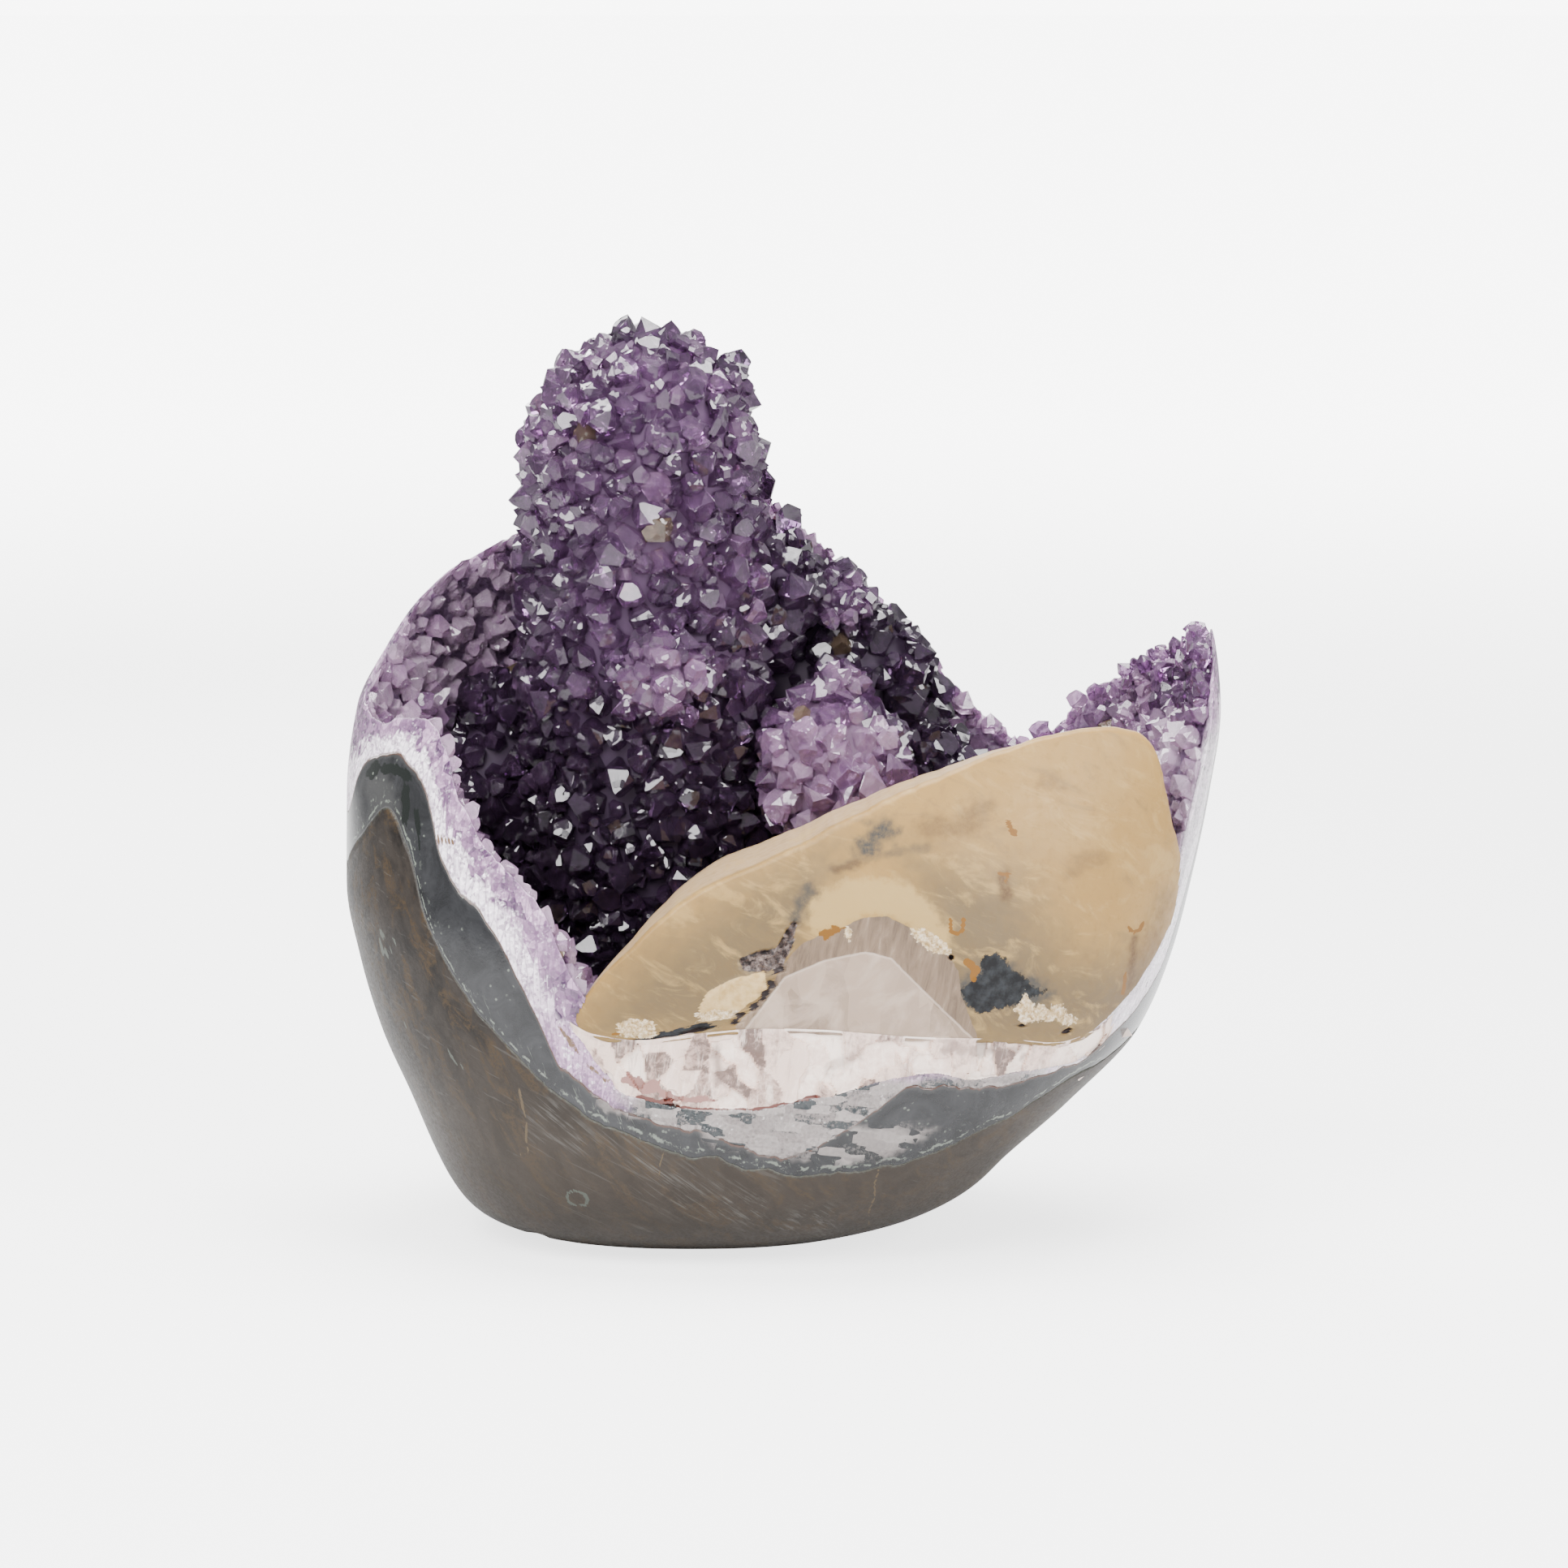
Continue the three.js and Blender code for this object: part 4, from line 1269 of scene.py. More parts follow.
@dataclass
class CalciteCrystal:
    """The large calcite crystal, ground flush in front, with natural faces behind."""

    outline: CalciteOutline = field(default_factory=CalciteOutline)
    columns: int = 480
    front_rows: int = 124
    edge_rows: int = 6
    side_rows: int = 10
    back_rows: int = 8
    edge_radius: float = 1.2
    waviness: float = 0.25  # of the whole face, in mm
    pit_depth: float = 1.6
    back: float = -20.0
    faces: tuple[tuple[tuple[float, ...], tuple[float, ...]], ...] = (
        ((20, -36, 100), (-0.15, 0.75, 0.75)),
        ((-20, -34, 70), (-0.8, 0.75, 0)),
        ((66, -20, 80), (0.6, 0.75, 0)),
    )
    patches: tuple[Patch, ...] = (
        Patch("smoke", ((17.0, 90.5), (20.5, 93.5)), 5.0, 4.4, 0.8, 0.95, 0.4),
        Patch("smoke", ((10.7, 86.0), (18, 88.5), (28, 90.0)), 3.2, 1.4, 0.45, 0.95, 0.5),
        Patch("smoke", ((2.3, 76.5), (3.8, 79.5), (5.5, 81.5)), 2.8, 3.0, 0.7, 0.95, 0.5),
        Patch(
            "pit",
            ((-0.6, 65.8), (-2.8, 64.4), (-3.2, 61.4), (-6.7, 57.5), (-10.2, 55.1)),
            1.0, 0.8, 0.75, 0.8, 1.2,
        ),
        Patch("smoke", ((37, 60.5), (44, 62.0), (51, 59.0)), 6.4, 5.6, 0.8, 0.95, 0.5),
        Patch("coal", ((-31, 50.3), (-25, 51.6), (-19, 53.2), (-15.5, 54.0)), 2.6, 1.1, 0.95, 0.6, 0.6),
        Patch("umber", ((30, 94), (36.5, 93.8), (40, 97)), 6.0, 4.0, 0.5, 0.95, 0.4),
        Patch("umber", ((11, 86), (15, 86.8)), 2.4, 1.4, 0.6, 0.95, 0.4),
        Patch("umber", ((60.0, 84.0), (63, 86)), 4.0, 3.2, 0.35, 0.95, 0.4),
        Patch("umber", ((55.2, 101.9),), 4.5, 3.2, 0.35, 0.95, 0.4),
        Patch("umber", ((80, 74), (76, 62), (71, 52)), 5.5, 7.0, 0.4, 0.95, 0.3),
        Patch("umber", ((45.3, 83.5), (45.8, 80)), 2.2, 3.6, 0.75, 0.9, 0.4),
        Patch("umber", ((66, 86),), 3.0, 3.0, 0.3, 0.9, 0.4),
        Patch("umber", ((73.4, 68), (72.6, 58)), 1.7, 1.8, 0.75, 0.9, 0.4),
        Patch("rust", ((46.2, 94.4), (46.9, 92.6), (47.6, 92.2)), 0.7, 0.8, 0.9, 0.6, 0.4),
        Patch("rust", ((44.2, 84.3), (46.4, 84.0), (45.6, 82.4)), 0.6, 0.6, 0.6, 0.6, 0.4),
        Patch(
            "rust",
            ((34.2, 75.4), (34.3, 72.9), (35.6, 72.4), (36.7, 73.1), (36.9, 75.4)),
            0.5, 0.5, 0.95, 0.5, 0.2,
        ),
        Patch("rust", ((37.6, 66.5), (39.2, 65.0), (39.0, 63.0)), 1.1, 1.2, 0.95, 0.6, 0.6),
        Patch(
            "rust",
            ((71.9, 70.4), (73.0, 69.2), (74.4, 69.5), (75.2, 71.0)),
            0.6, 0.6, 0.85, 0.6, 0.3,
        ),
        Patch("rust", ((71.4, 60.5), (71.0, 56.0)), 0.4, 0.5, 1.0, 0.4, 0.2),
        Patch("chalk", ((-17.2, 56.0), (-11.0, 56.6)), 1.9, 1.4, 0.8, 0.5, 0.7),
        Patch("rust", ((-34.6, 51.9),), 0.9, 0.9, 0.9, 0.6, 0.4),
        Patch("pit", ((34.3, 67.5),), 0.7, 0.7, 1.0, 0.5, 0.3),
        Patch("pit", ((49.2, 52.2),), 0.9, 0.5, 0.9, 0.5, 0.3),
        Patch("pit", ((58.7, 49.9),), 1.2, 0.8, 0.95, 0.5, 0.3),
        Patch("pit", ((-32.5, 49.9), (-24.3, 51.2), (-15.0, 53.6)), 1.2, 0.45, 0.6, 0.6, 1.4),
    )
    fields: tuple[Field, ...] = (
        Field("window", (
            (1.8, 69.2), (4.6, 71.4), (7.2, 72.6), (12.4, 74.3), (16.8, 76.4), (21.2, 76.3),
            (25.5, 74.1), (29.0, 70.5), (33.4, 68.6), (35.6, 65.0), (36.5, 59.7), (38.8, 53.3),
            (40.1, 49.4), (-8.4, 51.7), (-10.2, 53.9), (-6.7, 57.0), (-3.2, 61.4), (-0.6, 65.8),
        ), 0.8, 1.0, 0.3),
        Field(
            "facet",
            ((0.1, 64.0), (8.1, 67.5), (16.8, 69.1), (22.0, 67.7), (39.7, 49.4), (-8.4, 52.6)),
            0.7, 1.0, 0.15,
        ),
        Field("slab", (
            (-17.6, 57.8), (-15.4, 61.4), (-10.2, 64.0), (-4.1, 65.3), (-3.6, 61.4), (-10.2, 56.5),
            (-16.3, 54.7),
        ), 0.7, 1.0, 0.3),
        Field("pale", (
            (4.6, 74.4), (5.5, 78.7), (8.1, 82.1), (13.3, 84.1), (22.0, 84.4), (27.3, 81.8),
            (30.8, 77.4), (34.7, 72.1), (33.4, 68.6), (29.0, 70.5), (25.5, 74.1), (21.2, 76.3),
            (16.8, 76.4), (12.4, 74.3), (7.2, 72.6),
        ), 2.6, 0.8, 0.8),
        Field(
            "chalk",
            ((26.0, 73.6), (29.0, 73.5), (33.4, 70.8), (33.8, 68.2), (29.9, 68.8), (26.8, 71.5)),
            1.0, 0.9, 0.9,
        ),
        Field("chalk", ((12.8, 74.6), (14.2, 73.4), (13.4, 71.2), (12.0, 72.4)), 0.8, 0.8, 0.5),
        Field(
            "rust",
            ((6.8, 73.9), (9.0, 74.8), (12.4, 74.3), (10.7, 73.0), (8.1, 71.3)),
            0.9, 0.8, 0.9,
        ),
        Field("vug", (
            (2.2, 75.9), (2.7, 74.8), (1.1, 69.2), (-0.6, 65.8), (-4.1, 65.3), (-8.4, 65.8),
            (-8.9, 68.2), (-5.8, 69.2), (-2.3, 69.9), (0.1, 72.7),
        ), 0.6, 1.0, 0.7),
        Field("coal", (
            (35.9, 60.6), (40.0, 63.5), (40.4, 67.4), (44.0, 68.1), (48.4, 63.4), (52.0, 60.4),
            (54.7, 59.2), (47.6, 56.7), (43.2, 56.1), (39.6, 55.5), (37.4, 57.8),
        ), 2.2, 0.9, 0.9),
        Field("chalk", (
            (47.6, 55.8), (49.8, 58.8), (53.0, 55.7), (58.9, 55.2), (61.1, 51.0), (55.7, 52.5),
            (49.4, 52.9),
        ), 1.2, 0.85, 1.4),
        Field(
            "chalk",
            ((-34.2, 53.9), (-31.1, 55.6), (-26.7, 54.8), (-26.3, 51.9), (-30.2, 51.4), (-33.7, 51.7)),
            0.8, 0.9, 0.9,
        ),
        Field("grey", ((-44, 50), (-30, 68), (-6, 84), (10, 90), (4, 66), (-12, 50)), 9.0, 0.9, 2.0),
        Field("grey", ((26, 88), (48, 84), (60, 66), (82, 62), (70, 44), (30, 46)), 10.0, 0.9, 2.0),
    )

    def behind(self, x: Array, z: Array) -> Array:
        """Gives the y of the crystal's back at places seen from the front."""
        depth = np.full(x.shape, self.back)
        for (px, py, pz), (nx, ny, nz) in self.faces:
            depth = np.minimum(depth, py - (nx * (x - px) + nz * (z - pz)) / ny)
        return depth

    def build(self) -> Piece:
        """Builds the crystal and stores its patches."""
        rows = self.front_rows + self.edge_rows + self.side_rows + self.back_rows
        piece, angle, row = sphere_net("calcite_body", self.columns, rows)
        reach = self.outline.reach(angle)
        around = place(reach * np.cos(angle), 0 * angle, reach * np.sin(angle))
        reach = reach + 0.35 * grain(around, 5, 3) - 0.2
        front = np.clip(row / self.front_rows, 0, 1)
        turn = np.clip((row - self.front_rows) / self.edge_rows, 0, 1) * math.pi / 2
        side = np.clip((row - self.front_rows - self.edge_rows) / self.side_rows, 0, 1)
        home = np.clip((rows - row) / self.back_rows, 0, 1)
        distance = (reach - self.edge_radius) * np.minimum(front, home)
        distance += self.edge_radius * np.sin(turn) * home
        x = self.outline.middle[0] + distance * np.cos(angle)
        z = self.outline.middle[1] + distance * np.sin(angle)
        face = OUTSIDE.front(x, z)
        back = np.maximum(self.behind(x, z), face + 2 * self.edge_radius)
        rounding = self.edge_radius * (1 - np.cos(turn))
        y = face + rounding + (back - face - rounding) * side
        points = place(x, y, z)
        covers = covers_of(self.patches + self.fields, points, grain(place(x, 0 * x, z), 2.2, 3))
        in_front = smooth_step(side, 0.3, 0.0)
        relief = self.waviness * grain(points, 18, 3) + 0.5 * covers["chalk"] * grain(points, 1.2, 2)
        pores = smooth_step(grain(points, 1.6, 3), -0.3, 0.3)
        relief -= self.pit_depth * (covers["pit"] + covers["vug"] * pores)
        relief -= 0.25 * covers["window"] - 0.1 * covers["facet"]
        relief += 0.3 * covers["slab"] - 0.2 * covers["coal"] * (1 + grain(points, 1.2, 2))
        points[:, 1] -= np.minimum(relief, 0.3) * in_front
        move_vertices(piece, points)
        turn_faces_out(piece)
        bpy.ops.object.shade_smooth()
        for name, cover in covers.items():
            store(piece, name, cover * in_front)
        store(piece, "side", 1 - in_front)
        return piece


@dataclass
class SparBed:
    """The cleaved spar between the calcite crystal and the agate."""

    upper: Pairs = (
        (-44.5, 53.2), (-39.4, 50.8), (-30.2, 49.8), (-16.0, 51.6), (-4.3, 52.5), (6.3, 52.2),
        (15.7, 51.5), (27.4, 50.2), (35.8, 49.6), (47.7, 48.4), (57.7, 46.7), (64.1, 47.9),
        (69.5, 51.0),
    )
    lower: Pairs = (
        (-44.5, 52.6), (-42.6, 50.5), (-38.1, 44.3), (-33.7, 38.9), (-27.7, 37.4), (-21.5, 36.1),
        (-14.3, 35.7), (-6.7, 35.7), (1.2, 37.1), (7.3, 38.2), (12.5, 39.2), (17.7, 40.9), (24.0, 42.1),
        (30.9, 42.6), (39.8, 40.5), (48.6, 41.4), (59.6, 41.6), (67.1, 44.5), (69.5, 50.0),
    )
    columns: int = 300
    rows: int = 60
    patches: tuple[Patch, ...] = (
        Patch(
            "red",
            (
                (-31, 38.0), (-27, 37.8), (-21.5, 36.9), (-14.3, 36.4),
                (-6.7, 36.4), (1.2, 37.7), (10, 38.9),
            ),
            0.6, 0.5, 0.9, 0.9, 0.8,
        ),
        Patch("red", ((5.2, 38.6), (6.6, 39.0)), 1.4, 0.8, 1.0, 0.8, 0.4),
        Patch("red", ((-29.5, 38.6), (-23.5, 37.6)), 1.2, 0.8, 0.9, 0.8, 0.8),
        Patch("stain", ((-31.5, 42.0), (-26.0, 40.5)), 2.8, 2.0, 0.85, 0.8, 0.7),
        Patch("stain", ((-22, 38.8), (-14, 38.4)), 2.4, 1.0, 0.6, 0.9, 0.9),
        Patch("brown", ((-14, 48), (-13.2, 43.5)), 1.6, 2.6, 0.7, 0.9, 0.5),
        Patch("brown", ((34, 48.5), (42, 47.5), (48, 46.5)), 3.0, 2.2, 0.6, 0.9, 0.8),
        Patch("brown", ((10, 45.0), (14, 47.5)), 2.2, 2.4, 0.4, 0.9, 0.6),
    )
    overlap: float = 1.0  # how far it runs on below the calcite
    step_depth: float = 1.4
    roughness: float = 0.12
    thickness: float = 8.0

    def inside(self, x: Array, z: Array, margin: float) -> Array:
        """Tells which places lie inside the bed by more than a margin."""
        left, right = self.lower[0][0] + margin, self.lower[-1][0] - margin
        above = z > SmoothCurve(self.lower)(x) + margin
        return (x > left) & (x < right) & above & (z < SmoothCurve(self.upper)(x) + 1)

    def build(self) -> Piece:
        """Builds the bed with its cleavage steps."""
        clear_selection()
        bpy.ops.mesh.primitive_grid_add(x_subdivisions=self.columns, y_subdivisions=self.rows, size=2)
        piece = bpy.context.object
        piece.name = piece.data.name = "spar_body"
        flat = vertices_of(piece)
        low_x, high_x = self.lower[0][0], self.lower[-1][0]
        x = low_x + (flat[:, 0] + 1) / 2 * (high_x - low_x)
        step = (flat[:, 1] + 1) / 2
        low = SmoothCurve(self.lower)(x)
        high = np.maximum(SmoothCurve(self.upper)(x) + self.overlap, low + 0.2)
        z = low + (high - low) * step
        points = place(x, OUTSIDE.front(x, z), z)
        rim = smooth_step(np.minimum(step, 1 - step) * (high - low), 0.0, 1.2)
        points[:, 1] += rim * self.steps(points)
        move_vertices(piece, points)
        pick(piece)
        solid = piece.modifiers.new("thickness", "SOLIDIFY")
        solid.thickness = self.thickness * MM
        solid.offset = -1.0
        bpy.ops.object.modifier_apply(modifier=solid.name)
        turn_faces_out(piece)
        points = vertices_of(piece) / MM
        store_all(piece, covers_of(self.patches, points, grain(points, 2.5, 3)))
        store(piece, "block", self.blocks(points[:, 0], points[:, 2]))
        return piece

    def blocks(self, x: Array, z: Array) -> Array:
        """Parts the face into irregular cleavage blocks.

        Args:
            x: places from left to right.
            z: their heights.

        Returns:
            Each place's chance value, the same all over its block.
        """
        rng = np.random.default_rng(SEED)
        count = 120
        middles = np.stack([rng.uniform(-46, 71, count), rng.uniform(33, 56, count)], axis=1)
        size = np.stack([rng.uniform(0.7, 2.0, count), rng.uniform(1.0, 3.0, count)], axis=1)
        chance = rng.random(count)
        tilted, turned = (
            np.stack([across + 0.12 * up, up - 0.10 * across], axis=-1)
            for across, up in ((x, z), middles.T)
        )
        nearest = np.full(x.shape, np.inf)
        mine = np.zeros(x.shape, int)
        for n in range(count):
            away = np.abs((tilted - turned[n]) / size[n]).max(axis=-1)
            closer = away < nearest
            nearest = np.where(closer, away, nearest)
            mine = np.where(closer, n, mine)
        return chance[mine]

    def steps(self, points: Array) -> Array:
        """Gives how far the cleavage steps lie behind the ground face."""
        chance = self.blocks(points[:, 0], points[:, 2])
        return self.step_depth * chance**2 + self.roughness * (1 + grain(points, 2.5, 3))


# Crystals


@dataclass
class CrystalHabit:
    """Amethyst points: short six-sided prisms closed by six rhombohedral faces, three of them larger."""

    models: int = 24
    slope: float = math.radians(51.8)  # of the closing faces against the crystal's foot
    root: float = 1.9  # how deep the prism runs on below its foot, as a share of its radius

    def build(self, rng: np.random.Generator) -> Models:
        """Models the crystals.

        Args:
            rng: source of chance.

        Returns:
            For each model its vertices for a radius of 1, its face corners and its face sizes.
        """
        return [self.model(rng) for _ in range(self.models)]

    def model(self, rng: np.random.Generator) -> tuple[Array, Array, Array]:
        """Models one crystal: a prism whose top is cut by six planes."""
        clear_selection()
        height = 1.15 + 0.35 * rng.random()
        bpy.ops.mesh.primitive_cylinder_add(
            vertices=6, radius=1.0, depth=self.root + 4, location=(0, 0, 2 - self.root / 2)
        )
        piece = bpy.context.object
        bpy.ops.object.mode_set(mode="EDIT")
        stagger = 0.05 + 0.4 * rng.random()
        for side in range(6):
            angle = math.radians(60 * side)
            lift = height + 0.1 * rng.normal() + (stagger if side % 2 else 0.0)
            facing = Vector((math.cos(angle), math.sin(angle), 0)) * math.sin(self.slope)
            facing.z = math.cos(self.slope)
            bpy.ops.mesh.select_all(action="SELECT")
            bpy.ops.mesh.bisect(
                plane_co=(0, 0, max(lift, 0.7)), plane_no=facing, use_fill=True, clear_outer=True
            )
        bpy.ops.object.mode_set(mode="OBJECT")
        vertices = vertices_of(piece)
        faces = [list(face.vertices) for face in piece.data.polygons]
        bpy.data.objects.remove(piece)
        return vertices, np.concatenate(faces), np.array([len(face) for face in faces])


@dataclass
class CrystalPatch:
    """Where crystals stand: their feet, the way they point, their radius and their tone."""

    foot: Array
    way: Array
    radius: Array
    tone: Array


def joined_crystals(
    name: str,
    patch: CrystalPatch,
    models: Models,
    rng: np.random.Generator,
    lean: float,
    reach: Optional[float] = None,
) -> Piece:
    """Copies the model crystals to their places and joins them.

    Args:
        name: name of the piece.
        patch: where they stand.
        models: the model crystals.
        rng: source of chance.
        lean: how far they lean away from the surface's direction, as a spread in radians.
        reach: the share of the way out beyond which they are ground away, if they are.

    Returns:
        One object of all crystals, with their tone and the height along each of them stored.
    """
    count = len(patch.foot)
    way = patch.way + rng.normal(0, lean, (count, 3))
    way /= np.linalg.norm(way, axis=1, keepdims=True)
    helper = np.where(np.abs(way[:, 2:3]) < 0.9, (0.0, 0.0, 1.0), (1.0, 0.0, 0.0))
    across = np.cross(helper, way)
    across /= np.linalg.norm(across, axis=1, keepdims=True)
    spin = rng.random(count)[:, None] * 2 * math.pi
    first = across * np.cos(spin) + np.cross(way, across) * np.sin(spin)
    second = np.cross(way, first)
    stretch = 1.0 + 0.15 * rng.normal(size=count)
    choice = rng.integers(len(models), size=count)
    chance = rng.random(count)
    points, corners, sizes, tones, axials, chances = [], [], [], [], [], []
    start = 0
    for number, (vertices, faces, face_sizes) in enumerate(models):
        mine = np.flatnonzero(choice == number)
        size = patch.radius[mine, None, None]
        level = np.maximum(vertices[None, :, 2:3] * stretch[mine, None, None], -ROOT / size)
        shape = (
            vertices[None, :, 0:1] * first[mine, None]
            + vertices[None, :, 1:2] * second[mine, None]
            + level * way[mine, None]
        )
        points.append((patch.foot[mine, None] + shape * size).reshape(-1, 3))
        offset = start + np.arange(len(mine)) * len(vertices)
        corners.append((faces[None] + offset[:, None]).ravel())
        sizes.append(np.tile(face_sizes, len(mine)))
        tones.append(np.repeat(patch.tone[mine], len(vertices)))
        chances.append(np.repeat(chance[mine], len(vertices)))
        axials.append(np.tile(np.clip(vertices[:, 2] / vertices[:, 2].max(), 0, 1), len(mine)))
        start += len(mine) * len(vertices)
    places = np.concatenate(points)
    if reach is not None:
        places = OUTSIDE.ground(places, reach)
    piece = mesh_from(name, places, np.concatenate(corners), np.concatenate(sizes))
    store(piece, "tone", np.concatenate(tones))
    store(piece, "axial", np.concatenate(axials))
    store(piece, "chance", np.concatenate(chances))
    return piece


def scatter(points: Array, radius: Array, closeness: float) -> Array:
    """Picks places that keep their distance, in the order given.

    Args:
        points: candidate places.
        radius: the crystal's radius at each of them.
        closeness: least distance between two as a share of the sum of their radii.

    Returns:
        Numbers of the picked candidates.
    """
    cell = 2 * float(radius.max()) * closeness
    keys = np.floor(points / cell).astype(int)
    taken: dict[tuple[int, int, int], list[int]] = {}
    kept = []
    near = [(i, j, k) for i in (-1, 0, 1) for j in (-1, 0, 1) for k in (-1, 0, 1)]
    flat = points.tolist()
    sizes = radius.tolist()
    for n, (a, b, c) in enumerate(keys.tolist()):
        x, y, z = flat[n]
        room = sizes[n]
        free = True
        for i, j, k in near:
            for m in taken.get((a + i, b + j, c + k), ()):
                u, v, w = flat[m]
                least = (room + sizes[m]) * closeness
                if (x - u) ** 2 + (y - v) ** 2 + (z - w) ** 2 < least * least:
                    free = False
                    break
            if not free:
                break
        if free:
            taken.setdefault((a, b, c), []).append(n)
            kept.append(n)
    return np.array(kept)


Surface = Callable[[Array, Array], Array]


def candidates(
    surface: Surface, count: int, low: float, high: float, rng: np.random.Generator
) -> tuple[Array, ...]:
    """Gives places spread evenly over a surface.

    Args:
        surface: gives points at bearings and steps.
        count: how many places.
        low: least step.
        high: greatest step.
        rng: source of chance.

    Returns:
        Their bearings, steps, points and outward directions.
    """
    side = 160
    around, up = np.meshgrid(
        (np.arange(side) + 0.5) / side * 2 * math.pi, low + (np.arange(side) + 0.5) / side * (high - low)
    )
    half = math.pi / side
    rise = (high - low) / side / 2
    round_edge = surface(around + half, up) - surface(around - half, up)
    up_edge = surface(around, up + rise) - surface(around, up - rise)
    area = np.linalg.norm(np.cross(round_edge, up_edge), axis=-1).ravel()
    cell = rng.choice(side * side, size=count, p=area / area.sum())
    bearing = around.ravel()[cell] + (rng.random(count) - 0.5) * 2 * half
    step = np.clip(up.ravel()[cell] + (rng.random(count) - 0.5) * 2 * rise, low, high)
    point = surface(bearing, step)
    small = 1e-3
    tangent = surface(bearing + small, step) - surface(bearing - small, step)
    climb = surface(bearing, np.minimum(step + small, high)) - surface(bearing, step - small)
    way = np.cross(tangent, climb)
    way /= np.linalg.norm(way, axis=1, keepdims=True) + 1e-12
    return bearing, step, point, way


def crystal_radii(count: int, rng: np.random.Generator, scale: float) -> Array:
    """Gives radii in mm for candidates, the largest first, so that small crystals fill the gaps."""
    large = rng.uniform(3.2, 4.3, max(count // 60, 1))
    middle = rng.uniform(2.2, 3.1, count // 3)
    small = rng.uniform(1.4, 2.0, count - len(large) - len(middle))
    return scale * np.concatenate([np.sort(large)[::-1], middle, small])


@dataclass
class WallCrystals:
    """The amethyst points on the hollow's wall."""

    count: int = 42000
    lowest: float = 0.25
    closeness: float = 0.6
    lean: float = 0.36
    reach: float = 0.99  # share of the way out beyond which they are ground away
    greatest_raise: float = 1.7  # of a crystal's foot above the wall, in mm
    rim_lift: float = 0.7
    tip: tuple[float, float] = (76.0, 112.0)  # at the right-hand tip, beyond this x and z
    tip_reach: float = 0.955  # how far out the crystals' feet stand there

    def build(self, models: Models, rng: np.random.Generator) -> Piece:
        """Grows the crystals, paler towards the rim, and darker deep in the hollow partly as painted
        shade.
        """
        height = QUARTZ.edge_height

        def surface(bearing: Array, step: Array) -> Array:
            return QUARTZ.wall(bearing, step, height(bearing))

        bearing, step, foot, way = candidates(surface, self.count, self.lowest, 1.0, rng)
        radius = crystal_radii(self.count, rng, 1.0)
        x, z = foot[:, 0], foot[:, 2]
        covered = CalciteOutline().inside(x, z, 3.0) & (foot[:, 1] < -24)
        covered |= (foot[:, 1] < -32) & (z < 52) & (x > -42)
        free = np.flatnonzero(~covered)
        kept = free[scatter(foot[free], radius[free], self.closeness)]
        foot, way = foot[kept], -way[kept]
        radius = radius[kept] * (1 - 0.25 * smooth_step(step[kept], 0.8, 1.0))
        way = way + np.array([0, 0, 0.9]) * smooth_step(step[kept], 0.86, 1.0)[:, None]
        way /= np.linalg.norm(way, axis=1, keepdims=True)
        raised = np.minimum((0.35 + 0.7 * rng.random(len(kept)) ** 2) * radius, self.greatest_raise)
        foot = foot + way * raised[:, None]
        at_tip = (foot[:, 0] > self.tip[0]) & (foot[:, 2] > self.tip[1])
        foot[at_tip] = OUTSIDE.ground(foot[at_tip], self.tip_reach)
        lift = self.rim_lift * rng.random(len(kept)) * smooth_step(step[kept], 0.94, 1.0)
        foot[:, 2] += lift * (foot[:, 1] > -20)
        rim = smooth_step(step[kept], 0.72, 0.98)
        # Tone rises from the hollow's floor to the rim: partly the crystals' own colour, partly painted
        # shade deep in the hollow.
        tone = 0.14 + 0.3 * smooth_step(step[kept], 0.45, 0.8) + 0.2 * rim
        tone += 0.26 * smooth_step(foot[:, 0], 0, -55) * smooth_step(step[kept], 0.3, 0.6)
        tone += 0.35 * rim * smooth_step(foot[:, 0], 70, 82) * smooth_step(foot[:, 2], 114, 106)
        tone += 0.04 * smooth_step(foot[:, 2], 75, 55)
        tone -= 0.14 * smooth_step(foot[:, 0], 45, 60) * smooth_step(foot[:, 2], 106, 114)
        tone = tone + 0.1 * grain(foot, 12, 2) + 0.07 * rng.normal(size=len(kept))
        patch = CrystalPatch(foot, way, radius, tone)
        return joined_crystals("wall_crystals", patch, models, rng, self.lean, self.reach)


@dataclass(frozen=True)
class Lump:
    """A rounded lump on the stalactite: its middle, its half sizes and how pale its crystals are."""

    name: str
    at: Point
    size: Point
    tone: float
    grain: float = 1.0

    def surface(self, bearing: Array, step: Array) -> Array:
        """Gives points on the lump: step runs from its lower to its upper end."""
        polar = math.pi * (1 - step)
        unit = place(np.sin(polar) * np.cos(bearing), np.sin(polar) * np.sin(bearing), np.cos(polar))
        ball = unit * self.size
        return ball * (1 + 0.13 * grain(ball + self.at, 9, 2))[..., None] + self.at

    def depth(self, points: Array) -> Array:
        """Gives how deep points lie inside the lump: 0 on its surface, 1 in its middle."""
        return 1 - np.linalg.norm((points - self.at) / self.size, axis=-1)


